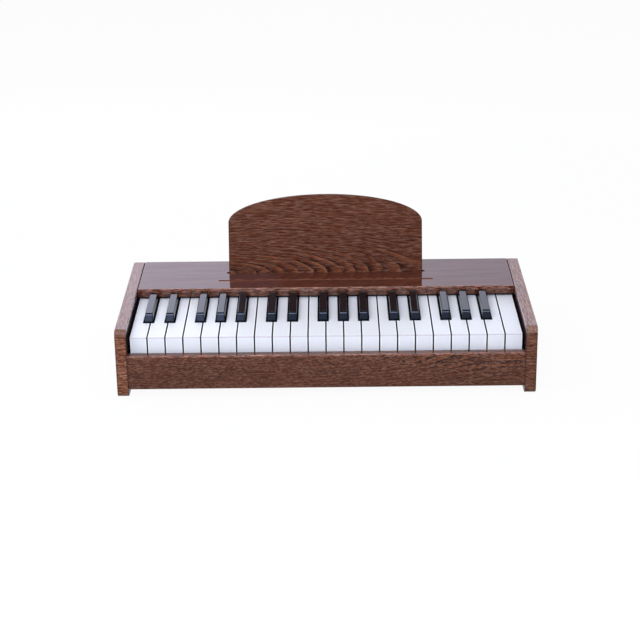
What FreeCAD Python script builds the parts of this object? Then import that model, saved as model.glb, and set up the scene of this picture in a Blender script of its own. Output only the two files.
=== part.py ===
"""Compact wooden keyboard with 37 sprung keys and a lift-out music stand.

Millimetres, +X to the treble side, +Y to the back, +Z up. Pieces are drawn with y counted from the
front of the side panels and z from the surface that the case stands on. The finished pieces are moved
forward by half the depth, so the origin is the middle of the base.
"""

import FreeCAD, Part
import math
import os

Vector = FreeCAD.Vector
X_AXIS = Vector(1, 0, 0)
Y_AXIS = Vector(0, 1, 0)
Z_AXIS = Vector(0, 0, 1)

# General
overrun = 2.0
seam = 0.05
tiny = 1e-4

# Case
side_thickness = 15.0
side_corner_radius = 8.0
side_rear_radius = 2.0
side_edge_radius = 0.7
floor_gap = 11.0
rail_setback = 2.0
rail_thickness = 12.0
rail_height = 47.0
rail_edge_radius = 0.8
back_thickness = 12.0
bottom_thickness = 6.0
batten_size = 15.0

# Top panel
panel_thickness = 12.0
panel_side_gap = 1.0
panel_edge_radius = 1.2
panel_lip_depth = 3.0
slot_play = 0.4
slot_end_play = 3.7
slot_to_back = 49.2
groove_length = 300.0
groove_width = 5.0
groove_depth = 6.0

# Music stand
stand_width = 272.6
stand_thickness = 6.0
stand_height = 110.0
stand_shoulder_height = 71.0
stand_edge_radius = 0.9
stand_tilt = 15.0
stand_foot_depth = 28.0
socket_floor = 3.0
socket_wall = 5.0
socket_end = 10.0
tail_socket_gap = 4.0

# Keys
white_keys = 22
key_pitch = 23.5
key_gap = 1.2
key_end_gap = 2.5
key_front_gap = 1.0
key_top_above_rail = 21.5
key_height = 24.0
key_panel_gap = 3.0
key_length_seen = 139.0
key_wall = 1.8
key_top_wall = 2.5
key_edge_radius = 0.7
white_head_length = 51.1
black_front_gap = 1.4
black_width = 12.2
black_top_width = 9.7
black_rise = 11.0
black_front_run = 7.5
black_rear_gap = 1.0
black_rear_run = 0.6
black_edge_radius = 1.1
white_dip = 10.0
black_tilt = 4.0

# Pivot
pivot_setback = 34.0
pivot_drop = 11.5
rod_radius = 1.5
rod_play = 0.05
neck_before_pivot = 10.0
tail_behind_pivot = 9.0
ear_thickness = 1.6
ear_side_play = 0.4
ear_half_length = 5.0
ear_rise = 4.0

# Guide posts, plungers and springs. The white posts' share is of the white keys' heads. The other shares
# are of the run from the front of the black keys to the pivot.
white_post_share = 0.558
black_felt_share = 0.054
black_post_share = 0.216
plunger_share = 0.361
spring_spine_share = 0.568
plunger_thickness = 3.0
spring_seat_reach = 24.0
spring_seat_thickness = 2.0
spring_seat_drop = 19.5
spring_width = 5.0
spring_thickness = 0.4
spring_spine_width = 8.0
post_thickness = 3.0
post_play = 0.3
post_head_gap = 1.0

# Key frame
deck_thickness = 2.5
deck_under_keys = 16.0
frame_margin = 3.0
frame_side_play = 1.0
frame_rib_thickness = 3.0
rib_ribbon_gap = 15.0
frame_boss_radius = 4.0

# Felts
felt_thickness = 3.0
felt_play = 0.1
white_felt_inset = 4.0
white_felt_width = 12.0
black_felt_width = 10.0
tail_felt_width = 4.0
strip_felt_width = 9.0
strip_felt_setback = 3.0
strip_felt_play = 0.5

# Contacts
board_thickness = 1.6
board_width = 22.0
board_rib_thickness = 2.0
contact_stop_play = 0.3
dome_play = 0.3
dome_base_radius = 4.5
dome_top_radius = 2.6
dome_wall = 0.8
strip_width = 14.0
strip_thickness = 1.2

# Speakers
speaker_offset = 170.0
speaker_setback = 57.0
speaker_radius = 28.5
speaker_flange = 2.0
speaker_head_gap = 1.0
speaker_throat_radius = 14.0
speaker_magnet_radius = 17.0
speaker_magnet_height = 8.0
speaker_tag_width = 10.0
speaker_tag_thickness = 2.0
cone_thickness = 0.8
speaker_slots = 7
speaker_slot_width = 3.5
speaker_slot_share = 0.84

# Socket recess in the back panel
recess_left = 60.0
recess_height = 24.0
plate_thickness = 2.0
plate_lap = 6.0
plate_lap_below = 4.0
plate_floor_gap = 1.0
main_board_front_gap = 5.5
main_board_gap = 0.5
standoff_radius = 3.0
standoff_inset = 6.0
chip_size = 14.0
chip_height = 2.0

# Controls, from left to right along the recess
headphone_inset = 20.0
supply_spacing = 24.0
switch_spacing = 26.0
knob_spacing = 28.0
knob_inset = 22.0
socket_body_height = 10.8
socket_body_depth = 14.0
socket_body_width = 11.0
headphone_barrel_radius = 4.0
headphone_bore_radius = 1.8
headphone_bore_depth = 14.0
supply_barrel_radius = 4.6
supply_bore_radius = 2.85
supply_pin_radius = 1.0
supply_bore_depth = 9.5
barrel_stand_out = 2.0
barrel_play = 0.1
switch_body_width = 18.0
switch_body_depth = 9.0
switch_travel = 4.0
slider_width = 6.0
slider_height = 4.0
slider_stand_out = 3.0
slider_depth = 4.0
slider_play = 0.2
slider_ridge = 0.6
slider_ridges = 3
knob_radius = 7.0
knob_length = 9.0
knob_gap = 1.0
knob_flutes = 18
knob_flute_radius = 0.7
knob_mark_width = 1.0
knob_mark_depth = 0.6
knob_edge_radius = 0.6
spindle_radius = 3.0
spindle_play = 0.08
spindle_depth = 6.0
volume_body_width = 14.0
volume_body_depth = 10.0

# Screws
screw_radius = 1.75
screw_head_radius = 3.6
screw_head_height = 2.2
screw_length = 16.0
screw_cross_width = 0.9
screw_cross_depth = 1.2
bottom_screw_count = 4
bottom_screw_inset = 20.0
back_screw_count = 4
back_screw_inset = 30.0

# Wiring
ribbon_width = 20.0
ribbon_thickness = 1.0
ribbon_rise = 3.0
notch_play = 2.0
ribbon_plug_height = 2.0
ribbon_plug_depth = 6.0
ribbon_overlap = 2.5
lead_radius = 0.9
lead_bend = 2.0
lead_level = 5.0
lead_spacing = 3.0
lead_track_gap = 2.0
lead_end_inset = 18.0
lead_end_setback = 6.0

# Places that follow from the sizes above
inner_half = (white_keys * key_pitch + 2 * key_end_gap) / 2
case_half = inner_half + side_thickness
rail_front_y = rail_setback
rail_back_y = rail_front_y + rail_thickness
rail_top_z = floor_gap + rail_height
key_front_y = rail_back_y + key_front_gap
key_top_z = rail_top_z + key_top_above_rail
key_bottom_z = key_top_z - key_height
panel_bottom_z = key_top_z + key_panel_gap
side_height = panel_bottom_z + panel_thickness
panel_front_y = key_front_y + key_length_seen
shoulder_y = key_front_y + white_head_length
black_front_y = shoulder_y + black_front_gap
black_rear_y = panel_front_y - black_rear_gap
pivot_y = panel_front_y + pivot_setback
pivot_z = key_top_z - pivot_drop
neck_y = pivot_y - neck_before_pivot
tail_y = pivot_y + tail_behind_pivot
white_tilt = math.degrees(math.asin(white_dip / (pivot_y - key_front_y)))
stand_turn = math.radians(stand_tilt)
slot_length = stand_width + 2 * slot_end_play
slot_half_depth = (stand_thickness / 2 + slot_play) / math.cos(stand_turn)
slot_foot_lean = stand_foot_depth * math.sin(stand_turn)
slot_centre_y = tail_y + tail_socket_gap + socket_wall + slot_half_depth + slot_foot_lean
groove_centre_y = (panel_front_y + slot_centre_y) / 2
case_depth = slot_centre_y + slot_to_back
back_inner_y = case_depth - back_thickness
bottom_top_z = floor_gap + bottom_thickness
deck_top_z = key_bottom_z - deck_under_keys
deck_bottom_z = deck_top_z - deck_thickness
frame_front_y = key_front_y + frame_margin
ear_back_y = pivot_y + ear_half_length
frame_back_y = tail_y + frame_margin * 2
frame_half = inner_half - frame_side_play
batten_top_z = bottom_top_z + batten_size
black_run = pivot_y - black_front_y
white_post_y = key_front_y + white_head_length * white_post_share
black_post_y = black_front_y + black_run * black_post_share
white_felt_y = key_front_y + white_felt_inset
black_felt_y = black_front_y + black_run * black_felt_share
plunger_y = black_front_y + black_run * plunger_share
spring_spine_y = black_front_y + black_run * spring_spine_share
spring_seat_y = pivot_y - spring_seat_reach
spring_seat_z = key_top_z - spring_seat_drop
speaker_centre_y = frame_front_y + speaker_setback
speaker_top_z = deck_bottom_z - speaker_head_gap
headphone_x = recess_left + headphone_inset
supply_x = headphone_x + supply_spacing
switch_x = supply_x + switch_spacing
knob_x = switch_x + knob_spacing
recess_right = knob_x + knob_inset
control_z = bottom_top_z + plate_floor_gap + plate_lap_below + recess_height / 2
ribbon_x = (supply_x + switch_x - ribbon_width) / 2
frame_rib_pitch = ribbon_x - notch_play - rib_ribbon_gap
first_key_x = -white_keys * key_pitch / 2
black_slot = black_width + 2 * key_gap

WHITE_NAMES = "cdefgab"
# Black keys by the white key on their left, and the run of white keys that shares out the tails
TAIL_GROUPS = (("cde", "cd"), ("fgab", "fga"))
FIRST_OCTAVE = 3


def box(x0, x1, y0, y1, z0, z1):
    return Part.makeBox(x1 - x0, y1 - y0, z1 - z0, Vector(x0, y0, z0))


def rod(x, y, z, radius, length, axis):
    return Part.makeCylinder(radius, length, Vector(x, y, z), axis)


def polygon_face(points):
    kept = []
    for point in points:
        if not kept or point.distanceToPoint(kept[-1]) > tiny:
            kept.append(point)
    if kept[0].distanceToPoint(kept[-1]) < tiny:
        kept.pop()
    return Part.Face(Part.makePolygon(kept + [kept[0]]))


def plan_prism(points, z0, z1):
    return polygon_face([Vector(x, y, z0) for x, y in points]).extrude(Vector(0, 0, z1 - z0))


def side_prism(points, x0, x1):
    return polygon_face([Vector(x0, y, z) for y, z in points]).extrude(Vector(x1 - x0, 0, 0))


def edges_of(shape, wanted):
    return [edge for edge in shape.Edges if wanted(edge)]


def along(edge, axis):
    if len(edge.Vertexes) < 2:
        return False
    step = edge.Vertexes[1].Point - edge.Vertexes[0].Point
    return step.Length > 0 and abs(step.dot(axis)) > step.Length - tiny


def all_at(edge, pick, value):
    return all(abs(pick(vertex) - value) < tiny for vertex in edge.Vertexes)


def at_x(edge, value):
    return all_at(edge, lambda vertex: vertex.X, value)


def at_y(edge, value):
    return all_at(edge, lambda vertex: vertex.Y, value)


def at_z(edge, value):
    return all_at(edge, lambda vertex: vertex.Z, value)


def stadium(length, width, height, base_z):
    """A long hole's cutter with round ends, along X and centred on the origin in plan."""
    half = (length - width) / 2
    radius = width / 2
    body = box(-half, half, -radius, radius, base_z, base_z + height)
    ends = [rod(x, 0, base_z, radius, height, Z_AXIS) for x in (-half, half)]
    return body.fuse(ends).removeSplitter()


def evenly(first, last, count):
    step = (last - first) / (count - 1)
    return [first + step * place for place in range(count)]


# Key layout: one entry per key from the bass end

def octave_lanes(octave_x, letters, black_after):
    """Lanes of one run of white keys and the black keys among them: name, left and right in X."""
    start = octave_x + WHITE_NAMES.index(letters[0]) * key_pitch
    tail = (len(letters) * key_pitch - len(black_after) * black_slot) / len(letters)
    lanes = []
    x = start
    for place, letter in enumerate(letters):
        head = start + place * key_pitch
        lanes.append((letter, x, x + tail, head))
        x += tail
        if letter in black_after:
            lanes.append((letter + "s", x, x + black_slot, None))
            x += black_slot
    return lanes


def keyboard_lanes():
    octaves = white_keys // len(WHITE_NAMES)
    lanes = []
    for octave in range(octaves):
        octave_x = first_key_x + octave * len(WHITE_NAMES) * key_pitch
        for letters, black_after in TAIL_GROUPS:
            for name, left, right, head in octave_lanes(octave_x, letters, black_after):
                lanes.append((name + str(FIRST_OCTAVE + octave), left, right, head))
    last = first_key_x + octaves * len(WHITE_NAMES) * key_pitch
    lanes.append((WHITE_NAMES[0] + str(FIRST_OCTAVE + octaves), last, last + key_pitch, last))
    return lanes


LANES = keyboard_lanes()


def is_white(lane):
    return lane[3] is not None


def lane_centre(lane):
    return (lane[1] + lane[2]) / 2


def tail_sides(lane):
    """Left and right faces of a key's tail, which keeps half a gap from a white key beside it."""
    name, left, right, head = lane
    if not is_white(lane):
        return left + key_gap, right - key_gap
    head_left = head + key_gap / 2
    head_right = head + key_pitch - key_gap / 2
    return max(left, head_left), min(right, head_right)


def neck_half(lane):
    return (lane[2] - lane[1] - ear_thickness) / 2 - ear_side_play


def height_when_down(z, y, tilt):
    """Height that the part of a key at rest height z and place y has once the key is fully down."""
    turn = math.radians(tilt)
    return pivot_z - (pivot_y - y) * math.sin(turn) + (z - pivot_z) * math.cos(turn)


# Keys

def key_plan(lane, inset):
    """Plan outline of a key's body, drawn in by the inset on every side."""
    left, right = tail_sides(lane)
    left += inset
    right -= inset
    centre = lane_centre(lane)
    neck = neck_half(lane) - inset
    turn_y = neck_y - inset
    end_y = tail_y - inset
    if is_white(lane):
        head_left = lane[3] + key_gap / 2 + inset
        head_right = lane[3] + key_pitch - key_gap / 2 - inset
        front_y = key_front_y + inset
        back_y = shoulder_y - inset
        front = [(head_left, front_y), (head_right, front_y), (head_right, back_y), (right, back_y)]
        rear = [(left, back_y), (head_left, back_y)]
    else:
        front = [(left, black_front_y + inset), (right, black_front_y + inset)]
        rear = []
    neck_points = [(right, turn_y), (centre + neck, turn_y), (centre + neck, end_y)]
    neck_points += [(centre - neck, end_y), (centre - neck, turn_y), (left, turn_y)]
    return front + neck_points + rear


def key_hollow(lane, roof_z):
    """The space under a key's top, less its plunger and its spring seat."""
    hollow = plan_prism(key_plan(lane, key_wall), key_bottom_z - overrun, roof_z)
    left, right = tail_sides(lane)
    half_plunger, half_seat = plunger_thickness / 2, spring_seat_thickness / 2
    plunger = box(left, right, plunger_y - half_plunger, plunger_y + half_plunger,
                  key_bottom_z, roof_z + overrun)
    seat = box(left, right, spring_seat_y - half_seat, spring_seat_y + half_seat,
               spring_seat_z, roof_z + overrun)
    return hollow.cut([plunger, seat])


def pivot_bore():
    return rod(-inner_half, pivot_y, pivot_z, rod_radius + rod_play, 2 * inner_half, X_AXIS)


def white_key(lane):
    body = plan_prism(key_plan(lane, 0), key_bottom_z, key_top_z)

    def rounded(edge):
        front_corner = at_y(edge, key_front_y) and along(edge, Z_AXIS)
        return front_corner or (at_z(edge, key_top_z) and edge.BoundBox.YMin < neck_y - seam
                                and edge.BoundBox.YMax < neck_y + seam)

    body = body.makeFillet(key_edge_radius, edges_of(body, rounded))
    return body.cut([key_hollow(lane, key_top_z - key_top_wall), pivot_bore()])


def frustum(sides, front_y, rear_y, base_z, top_z, top_half, front_run, rear_run):
    left, right = sides
    centre = (left + right) / 2
    lower = [(left, front_y), (right, front_y), (right, rear_y), (left, rear_y)]
    upper = [(centre - top_half, front_y + front_run), (centre + top_half, front_y + front_run),
             (centre + top_half, rear_y - rear_run), (centre - top_half, rear_y - rear_run)]
    wires = []
    for points, z in ((lower, base_z), (upper, top_z)):
        corners = [Vector(x, y, z) for x, y in points]
        wires.append(Part.makePolygon(corners + [corners[0]]))
    return Part.makeLoft(wires, True, True)


def black_key(lane):
    body = plan_prism(key_plan(lane, 0), key_bottom_z, key_top_z)
    sides = tail_sides(lane)
    top_z = key_top_z + black_rise
    raised = frustum(sides, black_front_y, black_rear_y, key_top_z, top_z,
                     black_top_width / 2, black_front_run, black_rear_run)
    upper = edges_of(raised, lambda edge: edge.BoundBox.ZMax > top_z - seam)
    raised = raised.makeFillet(black_edge_radius, upper)
    inner_sides = (sides[0] + key_wall, sides[1] - key_wall)
    inner = frustum(inner_sides, black_front_y + key_wall, black_rear_y - key_wall,
                    key_top_z - key_top_wall, top_z - key_top_wall,
                    black_top_width / 2 - key_wall, black_front_run, black_rear_run)
    key = body.fuse(raised).removeSplitter()
    return key.cut([key_hollow(lane, key_top_z - key_top_wall), inner, pivot_bore()])


# Case

def side_panel(side):
    x0, x1 = sorted((side * inner_half, side * case_half))
    panel = box(x0, x1, 0, case_depth, 0, side_height)
    front = edges_of(panel, lambda edge: along(edge, X_AXIS) and at_y(edge, 0))
    panel = panel.makeFillet(side_corner_radius, front)
    rear = edges_of(panel, lambda edge: along(edge, X_AXIS) and at_y(edge, case_depth))
    panel = panel.makeFillet(side_rear_radius, rear)
    rims = edges_of(panel, lambda edge: at_x(edge, x0) or at_x(edge, x1))
    return panel.makeFillet(side_edge_radius, rims)


def front_rail():
    rail = box(-inner_half, inner_half, rail_front_y, rail_back_y, floor_gap, rail_top_z)
    return rail.makeFillet(rail_edge_radius, edges_of(rail, lambda edge: along(edge, X_AXIS)))


def slot_cutter(depth):
    """The slanted slot, from above the top panel down to the given depth along the stand."""
    cutter = stadium(slot_length, stand_thickness + 2 * slot_play, depth + side_corner_radius, -depth)
    return on_stand_plane(cutter)


def on_stand_plane(shape):
    """Tilts a shape drawn upright at the origin and sets it in the slot's mouth."""
    shape = shape.copy()
    shape.rotate(Vector(0, 0, 0), X_AXIS, -stand_tilt)
    shape.translate(Vector(0, slot_centre_y, side_height))
    return shape


def top_panel():
    """Lies in a narrow gap between the side panels, which a lip at its back closes."""
    half = inner_half - panel_side_gap
    panel = box(-half, half, panel_front_y, case_depth, panel_bottom_z, side_height)
    def eased(edge):
        return at_z(edge, side_height) or (at_y(edge, panel_front_y) and at_z(edge, panel_bottom_z))

    panel = panel.makeFillet(panel_edge_radius, edges_of(panel, eased))
    lip = box(-inner_half, inner_half, case_depth - panel_lip_depth, case_depth,
              panel_bottom_z, side_height - panel_edge_radius)
    groove = stadium(groove_length, groove_width, groove_depth + overrun, side_height - groove_depth)
    groove.translate(Vector(0, groove_centre_y, 0))
    return panel.fuse(lip).removeSplitter().cut([slot_cutter(stand_foot_depth), groove])


def back_panel():
    panel = box(-inner_half, inner_half, back_inner_y, case_depth, floor_gap, panel_bottom_z)
    half = recess_height / 2
    window = box(recess_left, recess_right, back_inner_y - overrun, case_depth + overrun,
                 control_z - half, control_z + half)
    return panel.cut([window] + [screw_hole(place, screw_radius) for place in back_screws()])


def bottom_panel():
    panel = box(-inner_half, inner_half, rail_back_y, back_inner_y, floor_gap, bottom_top_z)
    cuts = [screw_hole(place, screw_radius) for place in bottom_screws() + frame_screws()]
    opening = speaker_radius - speaker_slot_width
    for side in (-1, 1):
        for step in evenly(-opening * speaker_slot_share, opening * speaker_slot_share, speaker_slots):
            reach = math.sqrt(opening ** 2 - step ** 2)
            cutter = stadium(2 * reach, speaker_slot_width, bottom_thickness + 2 * overrun,
                             floor_gap - overrun)
            cutter.translate(Vector(side * speaker_offset, speaker_centre_y + step, 0))
            cuts.append(cutter)
    return panel.cut(cuts)


def case_battens():
    """Glued strips: along both sides for the bottom, along the back and both sides for the top panel."""
    battens = []
    upper_z = panel_bottom_z - batten_size
    rear_y = back_inner_y - batten_size
    side_y = socket_sides()[1] - batten_size
    for side in (-1, 1):
        x0, x1 = sorted((side * inner_half, side * (inner_half - batten_size)))
        battens.append(box(x0, x1, rail_back_y, back_inner_y, bottom_top_z, batten_top_z))
        battens.append(box(x0, x1, side_y, rear_y, upper_z, panel_bottom_z))
    battens.append(box(-inner_half, inner_half, rear_y, back_inner_y, upper_z, panel_bottom_z))
    holes = [screw_hole(place, screw_radius) for place in bottom_screws() + back_screws()]
    return Part.makeCompound([batten.cut(holes) for batten in battens])


# Stand and its socket

def music_stand():
    half = stand_width / 2
    front = -stand_thickness / 2
    foot = -stand_foot_depth
    corners = [Vector(x, front, z) for x, z in
               ((-half, stand_shoulder_height), (-half, foot), (half, foot), (half, stand_shoulder_height))]
    middle = Vector(0, front, stand_shoulder_height)
    oval = Part.Ellipse(corners[3], Vector(0, front, stand_height), middle)
    crown = Part.ArcOfEllipse(oval, 0, math.pi).toShape()
    sides = [Part.LineSegment(corners[place], corners[place + 1]).toShape() for place in range(3)]
    plate = Part.Face(Part.Wire(sides + [crown])).extrude(Vector(0, stand_thickness, 0))
    rims = edges_of(plate, lambda edge: (at_y(edge, front) or at_y(edge, -front)) and not at_z(edge, foot))
    return on_stand_plane(plate.makeFillet(stand_edge_radius, rims))


def socket_sides():
    """Front and back of the grooved batten, clear of the slot at its top and at its foot."""
    lean_top = panel_thickness * math.tan(stand_turn)
    room = slot_half_depth + socket_wall
    return slot_centre_y - slot_foot_lean - room, slot_centre_y - lean_top + room


def stand_socket_rail():
    front_y, back_y = socket_sides()
    half = slot_length / 2 + socket_end
    foot_rise = stand_foot_depth * math.cos(stand_turn) + stand_thickness / 2 * math.sin(stand_turn)
    foot_z = side_height - foot_rise
    rail = box(-half, half, front_y, back_y, foot_z - socket_floor, panel_bottom_z)
    return rail.cut(slot_cutter(stand_foot_depth))


# Key bed

def key_frame():
    deck = box(-frame_half, frame_half, frame_front_y, frame_back_y, deck_bottom_z, deck_top_z)
    solids = [felt_ledge(*felt) for felt in felt_beds()]
    solids += [frame_ear(x) for x in ear_places()]
    solids += [guide_post(lane) for lane in LANES]
    solids += board_ribs() + under_ribs() + frame_bosses()
    frame = deck.fuse(solids).removeSplitter()
    cuts = [pivot_bore(), ribbon_gap()] + lead_notches()
    cuts += [screw_hole(place, screw_radius) for place in frame_screws()]
    return frame.cut(cuts)


def ear_places():
    """Middle of each ear: one at every lane's edge."""
    half = ear_thickness / 2
    edges = [LANES[0][1] - half] + [lane[1] for lane in LANES[1:]] + [LANES[-1][2] + half]
    return edges


def frame_ear(x):
    half = ear_thickness / 2
    return box(x - half, x + half, pivot_y - ear_half_length, ear_back_y,
               deck_top_z - seam, pivot_z + ear_rise)


def guide_post(lane):
    """An upright that fits inside the key and keeps it in line."""
    if is_white(lane):
        y, tilt = white_post_y, white_tilt
        left, right = lane[3] + key_gap / 2, lane[3] + key_pitch - key_gap / 2
    else:
        y, tilt = black_post_y, black_tilt
        left, right = tail_sides(lane)
    inset = key_wall + post_play
    front_y, back_y = y - post_thickness / 2, y + post_thickness / 2
    roof_z = height_when_down(key_top_z - key_top_wall, front_y, tilt)
    return box(left + inset, right - inset, front_y, back_y, deck_top_z - seam, roof_z - post_head_gap)


def felt_beds():
    """Front, back and felt top of the three strips that the keys land on."""
    white_z = height_when_down(key_bottom_z, white_felt_y, white_tilt) - felt_play
    black_z = height_when_down(key_bottom_z, black_felt_y, black_tilt) - felt_play
    tail_front = ear_back_y + post_play
    return (
        (white_felt_y, white_felt_y + white_felt_width, white_z),
        (black_felt_y, black_felt_y + black_felt_width, black_z),
        (tail_front, tail_front + tail_felt_width, key_bottom_z),
    )


def felt_ledge(front_y, back_y, felt_top_z):
    return box(-frame_half, frame_half, front_y, back_y, deck_top_z - seam, felt_top_z - felt_thickness)


def board_top():
    """Under side of the fully pressed black plunger less the squashed dome strip."""
    plunger_z = height_when_down(key_bottom_z, plunger_y - plunger_thickness / 2, black_tilt)
    return plunger_z - contact_stop_play - strip_thickness


def board_sides():
    return plunger_y - board_width / 2, plunger_y + board_width / 2


def board_ribs():
    front_y, back_y = board_sides()
    top_z = board_top() - board_thickness
    return [box(-frame_half, frame_half, y, y + board_rib_thickness, deck_top_z - seam, top_z)
            for y in (front_y, back_y - board_rib_thickness)]


def under_ribs():
    """Feet of the frame: two long ribs and three short ones, down to the bottom panel."""
    half = inner_half - batten_size - frame_side_play
    low, high = bottom_top_z, deck_bottom_z + seam
    ribs = [box(-half, half, y, y + frame_rib_thickness, low, high)
            for y in (frame_front_y, frame_back_y - frame_rib_thickness)]
    thick = frame_rib_thickness / 2
    for x in (-frame_rib_pitch, 0, frame_rib_pitch):
        ribs.append(box(x - thick, x + thick, frame_front_y, frame_back_y, low, high))
    return ribs


def frame_bosses():
    return [rod(x, y, bottom_top_z, frame_boss_radius, deck_bottom_z - bottom_top_z + seam, Z_AXIS)
            for (x, y, z), axis in frame_screws()]


def key_pivot_rod():
    reach = LANES[-1][2] + ear_thickness
    return rod(-reach, pivot_y, pivot_z, rod_radius, 2 * reach, X_AXIS)


def key_spring_comb():
    """A spine on the deck with one leaf per key that rises to the key's spring seat."""
    tip_front, tip_back = spring_seat_y - spring_seat_thickness, spring_seat_y + spring_seat_thickness
    under_tip_z = spring_seat_z - spring_thickness
    top_z = deck_top_z + spring_thickness
    spine = box(LANES[0][1], LANES[-1][2], spring_spine_y - spring_spine_width, spring_spine_y,
                deck_top_z, top_z)
    bend_y = spring_spine_y - spring_width / 2
    leaf = [(bend_y, deck_top_z), (spring_spine_y, deck_top_z), (tip_front, under_tip_z),
            (tip_back, under_tip_z), (tip_back, spring_seat_z), (tip_front, spring_seat_z),
            (spring_spine_y, top_z), (bend_y, top_z)]
    half = spring_width / 2
    leaves = [side_prism(leaf, lane_centre(lane) - half, lane_centre(lane) + half) for lane in LANES]
    return spine.fuse(leaves).removeSplitter()


def key_felts():
    """Three landing strips on the frame and the strip that closes the gap above the white keys."""
    strips = [box(-frame_half, frame_half, front_y, back_y, top_z - felt_thickness, top_z)
              for front_y, back_y, top_z in felt_beds()]
    front_y = panel_front_y + strip_felt_setback
    strips.append(box(-frame_half, frame_half, front_y, front_y + strip_felt_width,
                      key_top_z + strip_felt_play, panel_bottom_z))
    return Part.makeCompound(strips)


def contact_board():
    front_y, back_y = board_sides()
    top_z = board_top()
    board = box(-frame_half, frame_half, front_y, back_y, top_z - board_thickness, top_z)
    plug_y = (front_y + back_y) / 2
    plug = box(ribbon_x, ribbon_x + ribbon_width, plug_y, plug_y + ribbon_plug_depth,
               top_z - board_thickness - ribbon_plug_height, top_z - board_thickness)
    return board.fuse(plug).removeSplitter()


def rubber_contact_strip():
    low_z = board_top()
    base_z = low_z + strip_thickness
    top_z = key_bottom_z - dome_play
    strip = box(-frame_half, frame_half, plunger_y - strip_width / 2, plunger_y + strip_width / 2,
                low_z, base_z)
    rise = top_z - base_z
    domes, hollows = [], []
    for lane in LANES:
        foot = Vector(lane_centre(lane), plunger_y, base_z)
        domes.append(Part.makeCone(dome_base_radius, dome_top_radius, rise, foot))
        hollows.append(Part.makeCone(dome_base_radius - dome_wall, dome_top_radius - dome_wall,
                                     rise - dome_wall, foot))
    return strip.fuse(domes).cut(hollows).removeSplitter()


# Electronics

def main_board_sides():
    return frame_back_y + main_board_front_gap, back_inner_y - plate_thickness - main_board_gap


def main_board_top():
    return control_z - socket_body_height / 2


def main_board():
    """Board on four standoffs with its sockets, switch body, volume control and chips soldered on."""
    front_y, back_y = main_board_sides()
    top_z = main_board_top()
    low_z = top_z - board_thickness
    board = box(recess_left, recess_right, front_y, back_y, low_z, top_z)
    parts = [rod(x, y, bottom_top_z, standoff_radius, low_z - bottom_top_z, Z_AXIS)
             for x in (recess_left + standoff_inset, recess_right - standoff_inset)
             for y in (front_y + standoff_inset, back_y - standoff_inset)]
    body_top = top_z + socket_body_height
    for x in (headphone_x, supply_x):
        parts.append(box(x - socket_body_width / 2, x + socket_body_width / 2,
                         back_y - socket_body_depth, back_y, top_z, body_top))
    end_y = back_inner_y + barrel_stand_out
    for x, radius in ((headphone_x, headphone_barrel_radius), (supply_x, supply_barrel_radius)):
        parts.append(rod(x, back_y - seam, control_z, radius, end_y - back_y + seam, Y_AXIS))
    parts.append(box(switch_x - switch_body_width / 2, switch_x + switch_body_width / 2,
                     back_y - switch_body_depth, back_y, top_z, body_top))
    parts.append(box(knob_x - volume_body_width / 2, knob_x + volume_body_width / 2,
                     back_y - volume_body_depth, back_y, top_z, body_top))
    for x in (headphone_x, supply_x, switch_x):
        parts.append(box(x - chip_size / 2, x + chip_size / 2, front_y + chip_size / 2,
                         front_y + chip_size * 3 / 2, top_z, top_z + chip_height))
    slide = slider_shape(slider_play, switch_travel)
    cuts = [
        rod(headphone_x, end_y - headphone_bore_depth, control_z, headphone_bore_radius,
            headphone_bore_depth + overrun, Y_AXIS),
        rod(supply_x, end_y - supply_bore_depth, control_z, supply_bore_radius,
            supply_bore_depth + overrun, Y_AXIS),
        rod(knob_x, back_y - spindle_depth - spindle_play, control_z, spindle_radius + spindle_play,
            spindle_depth + overrun, Y_AXIS),
        slide,
    ]
    pin = rod(supply_x, end_y - supply_bore_depth - seam, control_z, supply_pin_radius,
              supply_bore_depth, Y_AXIS)
    return board.fuse(parts).cut(cuts).fuse(pin).removeSplitter()


def jack_plate():
    half = recess_height / 2
    plate = box(recess_left - plate_lap, recess_right + plate_lap,
                back_inner_y - plate_thickness, back_inner_y,
                control_z - half - plate_lap_below, control_z + half + plate_lap)
    start = back_inner_y - plate_thickness - overrun
    length = plate_thickness + 2 * overrun
    cuts = [rod(x, start, control_z, radius, length, Y_AXIS) for x, radius in (
        (headphone_x, headphone_barrel_radius + barrel_play),
        (supply_x, supply_barrel_radius + barrel_play),
        (knob_x, spindle_radius + spindle_play),
    )]
    return plate.cut(cuts + [slider_shape(slider_play, switch_travel)])


def slider_shape(play, travel):
    """The switch's slider, or with play and travel the slot that it runs in."""
    left = switch_x - (slider_width + switch_travel) / 2
    half = slider_height / 2 + play
    return box(left - play, left + slider_width + travel + play,
               main_board_sides()[1] - slider_depth - play, back_inner_y + slider_stand_out,
               control_z - half, control_z + half)


def power_switch():
    slider = slider_shape(0, 0)
    left = switch_x - (slider_width + switch_travel) / 2
    tip_y = back_inner_y + slider_stand_out
    step = slider_width / (slider_ridges + 1)
    half = slider_ridge / 2
    grooves = [box(x - half, x + half, tip_y - slider_ridge, tip_y + overrun,
                   control_z - slider_height, control_z + slider_height)
               for x in evenly(left + step, left + slider_width - step, slider_ridges)]
    return slider.cut(grooves)


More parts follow.
